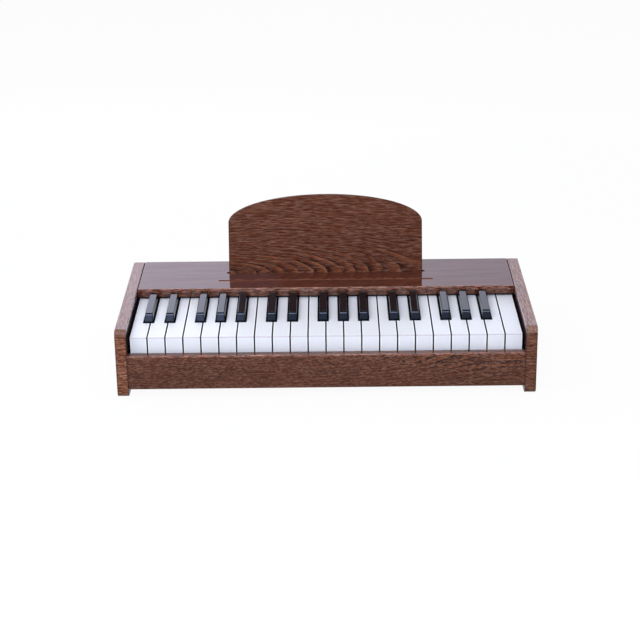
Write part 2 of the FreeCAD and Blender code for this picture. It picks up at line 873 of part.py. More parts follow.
def volume_knob():
    """Fluted knob with a pointer mark, on its spindle."""
    start = back_inner_y + knob_gap
    knob = rod(knob_x, start, control_z, knob_radius, knob_length, Y_AXIS)
    knob = knob.makeFillet(knob_edge_radius, edges_of(knob, lambda edge: at_y(edge, start + knob_length)))
    flutes = []
    for flute in range(knob_flutes):
        turn = 2 * math.pi * (flute + 0.5) / knob_flutes
        flutes.append(rod(knob_x + knob_radius * math.sin(turn), start - overrun,
                          control_z + knob_radius * math.cos(turn), knob_flute_radius,
                          knob_length + 2 * overrun, Y_AXIS))
    mark = box(knob_x - knob_mark_width / 2, knob_x + knob_mark_width / 2,
               start + knob_length - knob_mark_depth, start + knob_length + overrun,
               control_z, control_z + knob_radius * 2)
    spindle_start = main_board_sides()[1] - spindle_depth
    spindle_length = start + knob_gap - spindle_start
    spindle = rod(knob_x, spindle_start, control_z, spindle_radius, spindle_length, Y_AXIS)
    return knob.cut(flutes + [mark]).fuse(spindle).removeSplitter()


def speaker(side):
    """Basket, magnet and paper cone of a small speaker that faces down on the bottom panel."""
    rim = speaker_radius
    low = bottom_top_z
    top = speaker_top_z
    magnet_z = top - speaker_magnet_height
    profile = [
        (rim, low), (rim, low + speaker_flange), (rim - speaker_flange * 2, low + speaker_flange),
        (speaker_throat_radius, magnet_z), (speaker_magnet_radius, magnet_z), (speaker_magnet_radius, top),
        (0, top), (0, magnet_z - speaker_flange), (speaker_throat_radius / 2, magnet_z - speaker_flange),
        (rim - speaker_flange * 2, low + cone_thickness), (rim - speaker_flange, low),
    ]
    face = polygon_face([Vector(radius, 0, z) for radius, z in profile])
    shape = face.revolve(Vector(0, 0, 0), Z_AXIS, 360)
    tag_z = low + lead_level
    tag = box(-speaker_tag_width / 2, speaker_tag_width / 2, speaker_throat_radius + speaker_flange,
              rim - speaker_flange, tag_z - speaker_tag_thickness / 2, tag_z + speaker_tag_thickness / 2)
    shape = shape.fuse(tag).removeSplitter()
    shape.translate(Vector(side * speaker_offset, speaker_centre_y, 0))
    return shape


# Wiring

def ribbon_gap():
    """Hole in the deck that the ribbon cable goes down through."""
    y = sum(board_sides()) / 2
    return box(ribbon_x - notch_play, ribbon_x + ribbon_width + notch_play, y - notch_play,
               y + ribbon_plug_depth + notch_play, deck_bottom_z - overrun, deck_top_z + overrun)


def ribbon_level():
    return bottom_top_z + ribbon_rise


def lead_places(side):
    """X of the two wires of a speaker's lead."""
    return [side * speaker_offset - wire * lead_spacing for wire in range(2)]


def lead_notches():
    """Notches in the rear rib for the ribbon cable and the two speaker leads."""
    y0, y1 = frame_back_y - frame_rib_thickness - overrun, frame_back_y + overrun
    notches = [box(ribbon_x - notch_play, ribbon_x + ribbon_width + notch_play, y0, y1,
                   bottom_top_z - overrun, ribbon_level() + ribbon_thickness + notch_play)]
    lead_z = bottom_top_z + lead_level
    for side in (-1, 1):
        places = lead_places(side)
        notches.append(box(min(places) - notch_play, max(places) + notch_play, y0, y1,
                           lead_z - notch_play, lead_z + notch_play))
    return notches


def bent_wire(points):
    """A round wire along straight runs joined by arcs."""
    edges = []
    start = points[0]
    for before_corner, corner, after_corner in zip(points, points[1:], points[2:]):
        into = (corner - before_corner).normalize()
        out = (after_corner - corner).normalize()
        half_turn = into.getAngle(out) / 2
        setback = lead_bend * math.tan(half_turn)
        toward = (out - into).normalize()
        middle = corner + toward * (lead_bend / math.cos(half_turn) - lead_bend)
        before, after = corner - into * setback, corner + out * setback
        edges.append(Part.LineSegment(start, before).toShape())
        edges.append(Part.Arc(before, middle, after).toShape())
        start = after
    edges.append(Part.LineSegment(start, points[-1]).toShape())
    section = Part.Wire(Part.makeCircle(lead_radius, points[0], points[1] - points[0]))
    return Part.Wire(edges).makePipeShell([section], True, False)


def ribbon_cable():
    """From the contact board down through the deck, back along the bottom and up to the main board."""
    plug_y = sum(board_sides()) / 2 + (ribbon_plug_depth - ribbon_thickness) / 2
    top_z = board_top() - board_thickness - ribbon_plug_height
    level = ribbon_level()
    socket_y = main_board_sides()[0] + ribbon_overlap
    end_z = main_board_top() - board_thickness
    profile = [
        (plug_y, top_z), (plug_y, level), (socket_y, level), (socket_y, end_z),
        (socket_y - ribbon_thickness, end_z), (socket_y - ribbon_thickness, level + ribbon_thickness),
        (plug_y + ribbon_thickness, level + ribbon_thickness), (plug_y + ribbon_thickness, top_z),
    ]
    return side_prism(profile, ribbon_x, ribbon_x + ribbon_width)


def speaker_lead(side):
    """Two wires from a speaker's tag to the under side of the main board."""
    start_y = speaker_centre_y + speaker_radius - speaker_flange
    end_y = main_board_sides()[0] + lead_end_setback
    z = bottom_top_z + lead_level
    if side < 0:
        first_end_x, tracks = recess_left + lead_end_inset, (0, 1)
    else:
        first_end_x, tracks = recess_right - lead_end_inset, (1, 0)
    wires = []
    for wire, (x, track) in enumerate(zip(lead_places(side), tracks)):
        end_x = first_end_x - wire * lead_spacing
        track_y = frame_back_y + lead_track_gap + track * lead_spacing
        points = [Vector(x, start_y, z), Vector(x, track_y, z), Vector(end_x, track_y, z),
                  Vector(end_x, end_y, z), Vector(end_x, end_y, main_board_top() - board_thickness)]
        wires.append(bent_wire(points))
    return wires


def wiring():
    """Ribbon cable from the contact board and a two-wire lead from each speaker to the main board."""
    return Part.makeCompound([ribbon_cable()] + speaker_lead(-1) + speaker_lead(1))


# Screws, each a place on the outer face and the direction it is driven in

def bottom_screws():
    x = inner_half - batten_size / 2
    ys = evenly(rail_back_y + bottom_screw_inset, back_inner_y - bottom_screw_inset, bottom_screw_count)
    return [((side * x, y, floor_gap), Z_AXIS) for side in (-1, 1) for y in ys]


def frame_screws():
    y0 = frame_front_y + frame_boss_radius
    y1 = frame_back_y - frame_boss_radius
    return [((side * frame_rib_pitch, y, floor_gap), Z_AXIS) for side in (-1, 1) for y in (y0, y1)]


def back_screws():
    xs = evenly(back_screw_inset - inner_half, inner_half - back_screw_inset, back_screw_count)
    z = panel_bottom_z - batten_size / 2
    return [((x, case_depth, z), -Y_AXIS) for x in xs]


def screw_body(place, radius, head_radius, length):
    (x, y, z), axis = place
    base = Vector(x, y, z)
    head = Part.makeCone(head_radius, radius, screw_head_height, base, axis)
    shank_base = base + axis * (screw_head_height - seam)
    shank = Part.makeCylinder(radius, length - screw_head_height + seam, shank_base, axis)
    return head.fuse(shank).removeSplitter()


def screw_hole(place, radius):
    return screw_body(place, radius, screw_head_radius, screw_length)


def case_screws():
    """Countersunk wood screws with a cross recess."""
    screws = []
    for place in bottom_screws() + frame_screws() + back_screws():
        screw = screw_body(place, screw_radius, screw_head_radius, screw_length)
        (x, y, z), axis = place
        half = screw_cross_width / 2
        reach = screw_head_radius / 2
        arms = []
        for wide, narrow in ((reach, half), (half, reach)):
            if axis == Z_AXIS:
                arms.append(box(x - wide, x + wide, y - narrow, y + narrow,
                                z - overrun, z + screw_cross_depth))
            else:
                arms.append(box(x - wide, x + wide, y - screw_cross_depth, y + overrun,
                                z - narrow, z + narrow))
        screws.append(screw.cut(arms))
    return Part.makeCompound(screws)


def all_pieces():
    pieces = {
        "left_side_panel": side_panel(-1),
        "right_side_panel": side_panel(1),
        "top_panel": top_panel(),
        "front_rail": front_rail(),
        "back_panel": back_panel(),
        "bottom_panel": bottom_panel(),
        "case_battens": case_battens(),
        "music_stand": music_stand(),
        "stand_socket_rail": stand_socket_rail(),
        "key_frame": key_frame(),
        "key_pivot_rod": key_pivot_rod(),
        "key_spring_comb": key_spring_comb(),
        "rubber_contact_strip": rubber_contact_strip(),
        "contact_board": contact_board(),
        "key_felts": key_felts(),
        "main_board": main_board(),
        "jack_plate": jack_plate(),
        "power_switch": power_switch(),
        "volume_knob": volume_knob(),
        "left_speaker": speaker(-1),
        "right_speaker": speaker(1),
        "wiring": wiring(),
        "case_screws": case_screws(),
    }
    for lane in LANES:
        if is_white(lane):
            pieces["white_key_" + lane[0]] = white_key(lane)
        else:
            pieces["black_key_" + lane[0]] = black_key(lane)
    return pieces


def main():
    os.makedirs("parts", exist_ok=True)
    centring = Vector(0, -case_depth / 2, 0)
    for name, shape in all_pieces().items():
        shape = shape.copy()
        shape.translate(centring)
        solids = shape.Solids
        volume = sum(solid.Volume for solid in solids)
        print(f"{name}: {len(solids)} solids, {volume / 1000:.1f} cm3, valid {shape.isValid()}")
        if len(solids) == 1:
            shape = solids[0]
        shape.exportStep(f"parts/{name}.step")
    print(f"white keys tilt {white_tilt:.3f} degrees, black keys {black_tilt:.3f} degrees")
    print(f"case depth {case_depth:.4f}, pivot y {pivot_y - case_depth / 2:.4f} z {pivot_z:.2f}")
    print(f"contact board top z {board_top():.3f}, deck top z {deck_top_z:.3f}")


main()
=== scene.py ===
"""Looks of a compact wooden keyboard: lacquered walnut case, sprung keys and a lift-out music stand.

Lengths are in metres in the frame of the case: +X to the treble side, +Y to the back, +Z up.
"""

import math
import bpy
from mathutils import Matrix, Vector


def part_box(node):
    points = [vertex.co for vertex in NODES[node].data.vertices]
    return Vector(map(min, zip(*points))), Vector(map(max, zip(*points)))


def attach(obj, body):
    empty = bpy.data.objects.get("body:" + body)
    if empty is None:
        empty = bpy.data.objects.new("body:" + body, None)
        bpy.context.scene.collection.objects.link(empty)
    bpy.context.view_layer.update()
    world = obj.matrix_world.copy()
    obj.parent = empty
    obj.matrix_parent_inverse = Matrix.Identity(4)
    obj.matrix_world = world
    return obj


bl_info = {
    "name": "Compact Wooden Keyboard",
    "version": (1, 0, 0),
    "blender": (4, 5, 0),
    "location": "3D View > Sidebar > Keyboard",
    "description": "Finishes the pieces of a small wooden keyboard and sets up its studio",
    "category": "Object",
}

from typing import NamedTuple

import bmesh
import bpy
from mathutils import Matrix, Vector

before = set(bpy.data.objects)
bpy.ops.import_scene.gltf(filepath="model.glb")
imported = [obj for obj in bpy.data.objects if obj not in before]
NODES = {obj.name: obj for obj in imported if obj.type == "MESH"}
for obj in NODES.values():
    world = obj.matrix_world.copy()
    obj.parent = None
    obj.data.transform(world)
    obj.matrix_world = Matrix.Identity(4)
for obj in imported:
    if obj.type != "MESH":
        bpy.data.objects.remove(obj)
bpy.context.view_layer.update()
MM = 0.001

# Places read from the frame
SIDE_LOW, SIDE_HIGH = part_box("left_side_panel")
PANEL_LOW, PANEL_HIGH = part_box("top_panel")
RAIL_LOW, RAIL_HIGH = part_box("front_rail")
STAND_LOW, STAND_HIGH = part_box("music_stand")
WHITE_LOW, WHITE_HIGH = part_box("white_key_c3")
NEXT_KEY_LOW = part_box("white_key_d3")[0]
KEY_PITCH = NEXT_KEY_LOW.x - WHITE_LOW.x
KEY_GAP = NEXT_KEY_LOW.x - WHITE_HIGH.x
BLACK_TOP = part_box("black_key_cs3")[1].z
PLATE_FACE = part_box("jack_plate")[1].y
KNOB_LOW, KNOB_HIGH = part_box("volume_knob")
KNOB_CENTRE = (KNOB_LOW + KNOB_HIGH) / 2
PARTS_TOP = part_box("main_board")[1].z
MAGNET_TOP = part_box("left_speaker")[1].z
WHITE_KEYS = sorted(name for name in NODES if name.startswith("white_key_"))
BLACK_KEYS = sorted(name for name in NODES if name.startswith("black_key_"))

# Places inside a node, which its box doesn't give
MAIN_BOARD_TOP = 28.6 * MM
HEADPHONE_X = 80.0 * MM
JOINT_HEIGHT = SIDE_HIGH.z - 8.5 * MM
JOINT_WIDTH = 1.0 * MM
GROOVE_BACK = PANEL_LOW.y + 33.9 * MM
GROOVE_HALF = 149.0 * MM
CUTS_START, CUTS_END = PANEL_LOW.y + 8 * MM, PANEL_HIGH.y - 8 * MM
SLOT_START = PANEL_LOW.y + 42 * MM
MAGNET_BASE = MAGNET_TOP - 8.2 * MM

# Bands of a finish and of painted highlights: how far from their edge or line they start, and where they are
# full
END_DARKENING = (1.8 * MM, 0.4 * MM)
WHITE_EDGE_HIGHLIGHT = (2.2 * MM, 0.9 * MM)
WHITE_LINE_DEPTH = (1.6 * MM, 0.2 * MM)
WHITE_LINE_DROP = (2.2 * MM, 0.9 * MM)
BLACK_FOOT = (2.2 * MM, 1.0 * MM)
BLACK_RIM = (1.5 * MM, 1.1 * MM)
BLACK_GLINT = (0.7 * MM, 0.3 * MM)
GLINT_DROP = 2.1 * MM

# Camera, fitted to the corners of the case
CAMERA_PLACE = Vector((8.36, -2252.0, 955.7)) * MM
CAMERA_DOWN = math.radians(21.807)
CAMERA_YAW = math.radians(-0.425)
CAMERA_ROLL = math.radians(0.771)
CAMERA_LENS = 98.95
CAMERA_SENSOR = 36.0

# Studio
FLOOR_SIZE = 14.0
CARD_WIDTH, CARD_HEIGHT = 2.2, 0.84
CARD_PLACE = (0.0, 1.1, 0.42)
LAMP_TARGET = Vector((0.0, 0.0, 0.08))


def srgb(code):
    """Linear colour of an sRGB hex value."""
    channels = [int(code[place:place + 2], 16) / 255 for place in (0, 2, 4)]
    return [c / 12.92 if c <= 0.04045 else ((c + 0.055) / 1.055) ** 2.4 for c in channels]


WHITE = srgb("FFFFFF")


# Settings

def colour_setting(name, description, code):
    return bpy.props.FloatVectorProperty(name=name, description=description, subtype="COLOR",
                                         size=3, min=0.0, max=1.0, default=srgb(code))


def length_setting(name, description, millimetres):
    return bpy.props.FloatProperty(name=name, description=description, unit="LENGTH",
                                   min=0.0, default=millimetres * MM, precision=5)


def share_setting(name, description, value, high=1.0):
    return bpy.props.FloatProperty(name=name, description=description, subtype="FACTOR",
                                   min=0.0, max=high, default=value)


def power_setting(name, description, watts):
    return bpy.props.FloatProperty(name=name, description=description, unit="POWER",
                                   min=0.0, default=watts)


class KEYBOARD_PG_veneer(bpy.types.PropertyGroup):
    ground: colour_setting("Ground", "Stained walnut between the figure", "603323")
    shade: colour_setting("Shade", "Darker clouds of the stain", "48251B")
    # Fleck is partly the grain's pale streaks and partly a painted highlight, standing in for glints of light
    # in the pores
    fleck_and_glint: colour_setting("Fleck", "Pale short streaks", "98705F")
    early: colour_setting("Early wood", "Warm side of a growth ring", "84492B")
    rim: colour_setting("Rim", "Palest line of a growth ring", "8C5A40")
    late: colour_setting("Late wood", "Dark side of a growth ring", "2E140D")
    pore: colour_setting("Pore", "Filled pores", "32170F")
    # Painted highlight: a paler line along lacquered edges that stands in for their shine
    painted_highlight: colour_setting("Worn edge", "Paler line where an edge is rubbed", "C88874")
    # Inside is a painted reflection: the pale lavender-grey of the side panels' inner faces stands in for the
    # backdrop that they reflect
    inside: colour_setting("Inside", "Sealed inner faces of the side panels", "B4A4AE")
    # The painted light of the cuts: a paler colour on the groove's walls that stands in for the light they
    # catch
    core: colour_setting("Core", "Bare wood where a groove is cut through the veneer", "8A5848")
    fleck_length: length_setting("Fleck length", "Length of a pale streak", 14.0)
    fleck_width: length_setting("Fleck width", "Width of a pale streak, drawn wide enough to show", 0.92)
    pore_length: length_setting("Pore length", "Length of a pore", 11.0)
    pore_width: length_setting("Pore width", "Width of a pore, drawn wide enough to show", 0.9)
    cloud_length: length_setting("Cloud length", "Length of a darker cloud", 90.0)
    cloud_width: length_setting("Cloud width", "Width of a darker cloud", 9.0)
    ring_spacing: length_setting("Ring spacing", "Spacing of the growth rings", 3.9)
    ring_drift: length_setting("Ring drift", "How far a growth ring strays from its oval", 6.0)
    lacquer_roughness: share_setting("Lacquer roughness", "Roughness of the gloss lacquer", 0.05)


class KEYBOARD_PG_keys(bpy.types.PropertyGroup):
    white: colour_setting("White keys", "Moulded white key plastic", "ECEEF1")
    # Edge is a painted highlight on the white keys' edges
    edge: colour_setting("White key edges", "Polished edges of the white keys", "FDFDFF")
    # Side is painted shade: a near-black on the white keys' sides, which lie in shade in the gaps between the
    # keys
    side: colour_setting("White key sides", "Unpolished, dusty sides between the white keys", "1C1B20")
    line: colour_setting("White key line", "Line along the upper edge of a key's front", "C4B7BE")
    black: colour_setting("Black keys", "Moulded black key plastic", "06080B")
    # Glint is a painted highlight, mixed into the black keys' colour
    glint: colour_setting("Black key glint", "Pale line near the top of a black key's front", "7C8698")
    shine: colour_setting("Black key shine", "Tint of the black keys' gloss", "EBF5FF")
    white_roughness: share_setting("White roughness", "Roughness of the white keys", 0.35)
    black_roughness: share_setting("Black roughness", "Roughness of the black keys", 0.09)


class KEYBOARD_PG_sockets(bpy.types.PropertyGroup):
    tick_count: bpy.props.IntProperty(name="Ticks", description="Raised marks round the volume knob",
                                      min=3, default=11)
    tick_reach: length_setting("Tick reach", "From the knob's axis to the inner end of a mark", 8.4)
    tick_length: length_setting("Tick length", "Length of a mark", 1.6)
    tick_width: length_setting("Tick width", "Width of a mark", 0.5)
    tick_height: length_setting("Tick height", "Height of a mark above the plate", 0.3)
    nut_radius: length_setting("Nut radius", "Outer radius of the headphone socket's ring nut", 5.6)
    nut_bore: length_setting("Nut bore", "Inner radius of the ring nut", 4.05)
    nut_height: length_setting("Nut height", "Height of the ring nut", 1.4)


class KEYBOARD_PG_studio(bpy.types.PropertyGroup):
    floor: colour_setting("Floor", "Pale floor", "F4F4F4")
    floor_white: share_setting("Floor white", "How far the camera sees the floor lifted to white", 0.94)
    floor_gloss: share_setting("Floor gloss", "Brightness of the floor that gloss shows", 0.42)
    fill_front: share_setting("Front fill", "Strength of the even light from the front", 0.26, 5.0)
    fill_back: share_setting("Back fill", "Strength of the even light from the back", 0.80, 5.0)
    front_gloss: share_setting("Front gloss", "Brightness that gloss shows in front of the case", 0.10, 5.0)
    top_gloss: share_setting("Top gloss", "Brightness that gloss shows overhead", 1.2, 5.0)
    key_power: power_setting("Key light", "Soft lamp at the left", 9.0)
    key_tint: colour_setting("Key light colour", "Colour of the lamp at the left", "FFFAF4")
    key_size: length_setting("Key light size", "Side of the lamp at the left", 620.0)
    front_power: power_setting("Front light", "Large lamp above the front", 15.5)
    front_size: length_setting("Front light size", "Side of the lamp above the front", 2300.0)
    window_power: power_setting("Window light", "Brighter lamp at the front left", 5.5)
    window_size: length_setting("Window light size", "Side of the lamp at the front left", 950.0)
    soft_power: power_setting("Soft light", "Plain lamp low in front", 18.5)
    soft_size: length_setting("Soft light size", "Side of the lamp low in front", 700.0)
    sky_tint: colour_setting("Front light colour", "Colour of both lamps above the front", "BFD0FF")
    card_tint: colour_setting("Card colour", "Colour of the card behind the case", "E4E5FA")
    card_left: share_setting("Card left", "Brightness of the card at its left", 2.3, 5.0)
    card_right: share_setting("Card right", "Brightness of the card at its right", 1.45, 5.0)


# Materials

SMOOTH = "SMOOTHSTEP"
SHARE = 0  # sockets of a mix of colours, and of numbers
BELOW, ABOVE = 6, 7
LESS, MORE = 2, 3
ALONG, ACROSS, THROUGH = 0, 1, 2  # parts of a place on a board, by its grain

# The veneer's streaks: length and width, the noise at which one starts and is full, and its strength
RING_BREAKS = (45 * MM, 3.5 * MM, 0.36, 0.56)
FLECK_ROWS = (60 * MM, 1.8 * MM, 0.15, 0.55)
CLOUD_MASK = (0.38, 0.68, 0.6)
FLECK_MASK = (0.48, 0.59, 0.64)
PORE_MASK = (0.52, 0.64, 0.72)
# Broken streaks of the painted highlight along an edge
HIGHLIGHT_STREAKS = (10 * MM, 1.1 * MM, 0.44, 0.64, 0.7)
SUNK_LACQUER = (70 * MM, 4 * MM, 0.35, 0.75, 0.15)
CUT_WALL_FIBRE = (12 * MM, 1.2 * MM, 0.3, 0.75, 0.55)
INNER_FACE_STREAKS = (30 * MM, 2 * MM, 0.3, 0.7, 0.3)

# The growth rings: their slow wander, how softly the ovals begin and end, and the colours' places
# in a ring. The fine streaks follow the straight grain by one share and the rings by the other.
SWAY_LENGTH, SWAY_WIDTH = 150 * MM, 45 * MM
OVAL_EASE, LIMIT_EASE = 40 * MM, 60 * MM
RING_PLACES = (0.0, 0.16, 0.45, 0.8, 0.94, 1.0)
STRAIGHT_SHARE, RING_SHARE = 0.45, 0.55

# Soft blotches in a metre, so each is 33 mm wide down to 12 mm
PLASTIC_BLOTCHES, BLACK_KEY_BLOTCHES, WHITE_KEY_BLOTCHES, FLOOR_BLOTCHES = 30.0, 35.0, 40.0, 40.0
LACQUER_SWELLS, STEEL_FILM = 60.0, 80.0


def add_node(tree, kind, inputs=None, stops=None, **settings):
    """Adds a node. An input takes a value, an output, or a node for its first output in use.
    Stops are the places and colours of a ramp."""
    node = tree.nodes.new("ShaderNode" + kind)
    for name, value in settings.items():
        setattr(node, name, value)
    for key, value in (inputs or {}).items():
        socket = node.inputs[key]
        if isinstance(value, bpy.types.Node):
            value = next(output for output in value.outputs if output.enabled)
        if isinstance(value, bpy.types.NodeSocket):
            tree.links.new(value, socket)
        elif socket.type == "RGBA" and len(value) == 3:
            socket.default_value = (*value, 1.0)
        else:
            socket.default_value = value
    for place, (position, colour) in enumerate(stops or ()):
        elements = node.color_ramp.elements
        element = elements[place] if place < len(elements) else elements.new(position)
        element.position = position
        element.color = (*colour, 1.0)
    return node


def new_material(name):
    """An empty material, its tree, and the object's own coordinates there."""
    material = bpy.data.materials.new(name)
    material.use_nodes = True
    tree = material.node_tree
    tree.nodes.clear()
    return material, tree, add_node(tree, "TexCoord").outputs["Object"]


def end_material(material, inputs, kind="BsdfPrincipled"):
    """Ends the material with its surface shader."""
    surface = add_node(material.node_tree, kind, inputs)
    add_node(material.node_tree, "OutputMaterial", {"Surface": surface})
    return material


def streaks(tree, place, length, width, low, high, strength=1.0, detail=2.0):
    """Mask of streaks along the first axis: 0 where their noise is below low, full where above high."""
    scaled = add_node(tree, "VectorMath", {0: place, 1: (1 / length, 1 / width, 1 / width)},
                      operation="MULTIPLY")
    noise = add_node(tree, "TexNoise", {"Vector": scaled, "Scale": 1.0, "Detail": detail, "Roughness": 0.55})
    return add_node(tree, "MapRange", {"Value": noise, "From Min": low, "From Max": high, "To Max": strength},
                    interpolation_type=SMOOTH)


def mask_apart(tree, value, middle, start, end, strength=1.0, shape=SMOOTH):
    """Mask by how far a value is from its middle: 0 at the start and full at the end."""
    off = add_node(tree, "Math", {0: value, 1: middle}, operation="SUBTRACT")
    apart = add_node(tree, "Math", {0: off}, operation="ABSOLUTE")
    return add_node(tree, "MapRange", {"Value": apart, "From Min": start, "From Max": end,
                                       "To Max": strength}, interpolation_type=shape)


def facing(tree):
    """The three parts of the direction that the surface faces."""
    normal = add_node(tree, "NewGeometry").outputs["Normal"]
    return add_node(tree, "SeparateXYZ", {0: normal}).outputs


def flank_mask(tree, turned, start, end):
    """Mask of the faces that look sideways."""
    sideways = add_node(tree, "Math", {0: turned[0]}, operation="ABSOLUTE")
    return add_node(tree, "MapRange", {"Value": sideways, "From Min": start, "From Max": end})


def grain_place(tree, place, axes):
    """Turns the object's coordinates so that the first runs along the grain and the second across."""
    parts = add_node(tree, "SeparateXYZ", {0: place})
    return add_node(tree, "CombineXYZ",
                    {slot: parts.outputs["XYZ".index(axis)] for slot, axis in enumerate(axes)})


class Board(NamedTuple):
    """How the veneer lies on one board. The growth rings are long half-ovals from a centre on."""

    axes: str  # along the grain, across it and through the board
    centre: tuple  # where the ovals begin; the rings run level before it
    stretch: float  # length of an oval for its width
    zone: tuple  # a stretch along one of the axes: which one, its start and its end
    rings: tuple  # strength of the rings at the zone's start and end
    flecks: tuple  # strength of the flecks and pores there
    limit: float = 1.0  # distance past the centre, along the grain, from which the rings run level
    fade: tuple = None  # two places along the grain and the share of the rings left at the second
    length: float = 1.0  # length of the streaks, of the usual
    ends: tuple = None  # where the board stops along the grain; the colour is darker near these ends
    tone: tuple = (1.0, 1.0, 1.0)  # tint of the stain


def veneer_colour(tree, place, board, wood):
    """Colour of the stained veneer, whose pale flecks are partly painted glints, and the mask of its pores.
    """
    ground, shade, fleck_and_glint_tint, early, rim, late, pore_tint = (
        [channel * share for channel, share in zip(colour, board.tone)]
        for colour in (wood.ground, wood.shade, wood.fleck_and_glint, wood.early, wood.rim, wood.late, wood.pore))
    parts = add_node(tree, "SeparateXYZ", {0: place}).outputs

    # Growth rings: half-ovals round the centre that wander slowly
    drift = add_node(tree, "VectorMath",
                     {0: place, 1: (1 / SWAY_LENGTH, 1 / SWAY_WIDTH, 1 / SWAY_WIDTH)}, operation="MULTIPLY")
    sway = add_node(tree, "TexNoise", {"Vector": drift, "Scale": 1.0, "Detail": 4.0, "Roughness": 0.5})
    run = add_node(tree, "Math", {0: parts[ALONG], 1: board.centre[0]}, operation="SUBTRACT")
    begun = add_node(tree, "Math", {0: run, 1: 0.0, 2: OVAL_EASE}, operation="SMOOTH_MAX")
    held = add_node(tree, "Math", {0: begun, 1: board.limit, 2: LIMIT_EASE}, operation="SMOOTH_MIN")
    oval = add_node(tree, "VectorMath",
                    {0: add_node(tree, "CombineXYZ", {0: held, 1: parts[1], 2: parts[2]}),
                     1: (1 / board.stretch, 1.0, 1.0), 2: (0.0, -board.centre[1], -board.centre[2])},
                    operation="MULTIPLY_ADD")
    reach = add_node(tree, "VectorMath", {0: oval}, operation="LENGTH")
    ring_place = add_node(tree, "Math", {0: sway, 1: wood.ring_drift, 2: reach}, operation="MULTIPLY_ADD")
    grain = add_node(tree, "CombineXYZ", {0: parts[0], 1: ring_place, 2: parts[2]})
    turns = add_node(tree, "Math", {0: ring_place, 1: 1 / wood.ring_spacing}, operation="MULTIPLY")
    ring = add_node(tree, "Math", {0: turns}, operation="FRACT")
    bands = add_node(tree, "ValToRGB", {0: ring},
                     stops=zip(RING_PLACES, (late, late, ground, early, rim, late)))

    # How bold the rings are, and how lively the streaks
    axis, start, end = board.zone
    bold, lively = (
        add_node(tree, "MapRange", {"Value": parts[axis], "From Min": start, "From Max": end,
                                    "To Min": first, "To Max": last}, interpolation_type=SMOOTH)
        for first, last in (board.rings, board.flecks))
    broken = streaks(tree, grain, *RING_BREAKS)
    bold = add_node(tree, "Math", {0: bold, 1: broken}, operation="MULTIPLY")
    if board.fade:
        start, end, left = board.fade
        share = add_node(tree, "MapRange", {"Value": parts[ALONG], "From Min": start, "From Max": end,
                                            "To Min": 1.0, "To Max": left}, interpolation_type=SMOOTH)
        bold = add_node(tree, "Math", {0: bold, 1: share}, operation="MULTIPLY")

    # Fine streaks between the straight grain and the rings' lines
    side = add_node(tree, "Math", {0: parts[ACROSS], 1: board.centre[1]}, operation="SUBTRACT")
    level = add_node(tree, "Math", {0: side}, operation="ABSOLUTE")
    bent = add_node(tree, "Math", {0: ring_place, 1: RING_SHARE}, operation="MULTIPLY")
    eased = add_node(tree, "Math", {0: level, 1: STRAIGHT_SHARE, 2: bent}, operation="MULTIPLY_ADD")
    fine = add_node(tree, "CombineXYZ", {0: parts[0], 1: eased, 2: parts[2]})
    cloud = streaks(tree, grain, wood.cloud_length, wood.cloud_width, *CLOUD_MASK, detail=3.0)
    # Pale flecks: partly grain, partly painted glints
    fleck_and_glint = streaks(tree, fine, wood.fleck_length * board.length, wood.fleck_width, *FLECK_MASK)
    rows = streaks(tree, fine, *FLECK_ROWS)
    fleck_and_glint = add_node(tree, "Math", {0: fleck_and_glint, 1: rows}, operation="MULTIPLY")
    fleck_and_glint = add_node(tree, "Math", {0: fleck_and_glint, 1: lively}, operation="MULTIPLY")
    pores = streaks(tree, fine, wood.pore_length * board.length, wood.pore_width, *PORE_MASK)
    pores = add_node(tree, "Math", {0: pores, 1: lively}, operation="MULTIPLY")
    layers = [(cloud, shade), (bold, bands), (fleck_and_glint, fleck_and_glint_tint), (pores, pore_tint)]
    if board.ends:
        low, high = board.ends
        half = (high - low) / 2
        start, full = END_DARKENING
        darker_ends = mask_apart(tree, parts[ALONG], (low + high) / 2, half - start, half - full, 0.75)
        layers.append((darker_ends, pore_tint))
    colour = ground
    for mask, tint in layers:
        colour = add_node(tree, "Mix", {SHARE: mask, BELOW: colour, ABOVE: tint}, data_type="RGBA")
    return colour, pores


def painted_edge_highlight(tree, own, colour, wood, depth, height, reach):
    """Painted highlight: paler, broken streaks near an edge that runs in X, within reach of a line at that
    depth and height.
    """
    flat = add_node(tree, "VectorMath", {0: own, 1: (0.0, 1.0, 1.0)}, operation="MULTIPLY")
    gap = add_node(tree, "VectorMath", {0: flat, 1: (0.0, depth, height)}, operation="DISTANCE")
    close = add_node(tree, "MapRange", {"Value": gap, "From Min": reach, "From Max": reach / 2},
                     interpolation_type=SMOOTH)
    share = add_node(tree, "Math", {0: close, 1: streaks(tree, own, *HIGHLIGHT_STREAKS)}, operation="MULTIPLY")
    return add_node(tree, "Mix", {SHARE: share, BELOW: colour, ABOVE: wood.painted_highlight}, data_type="RGBA")


def lacquered(material, colour, pores, grain, wood):
    """Gloss lacquer over veneer: mirror-like, a little sunk along the grain, over softer pores."""
    tree = material.node_tree
    bump = add_node(tree, "Bump", {"Strength": 0.35, "Distance": 0.1 * MM, "Height": pores}, invert=True)
    swell = add_node(tree, "TexNoise", {"Vector": grain, "Scale": LACQUER_SWELLS, "Detail": 1.0})
    coat = add_node(tree, "Bump", {"Strength": 0.10, "Distance": 0.06 * MM, "Height": swell})
    sunk = streaks(tree, grain, *SUNK_LACQUER, detail=4.0)
    cover = add_node(tree, "Math", {0: 1.0, 1: sunk}, operation="SUBTRACT")
    return end_material(material, {
        "Base Color": colour, "Roughness": 0.6, "IOR": 1.5, "Specular IOR Level": 0.0, "Normal": bump,
        "Coat Weight": cover, "Coat Roughness": wood.lacquer_roughness, "Coat IOR": 1.5, "Coat Normal": coat,
    })


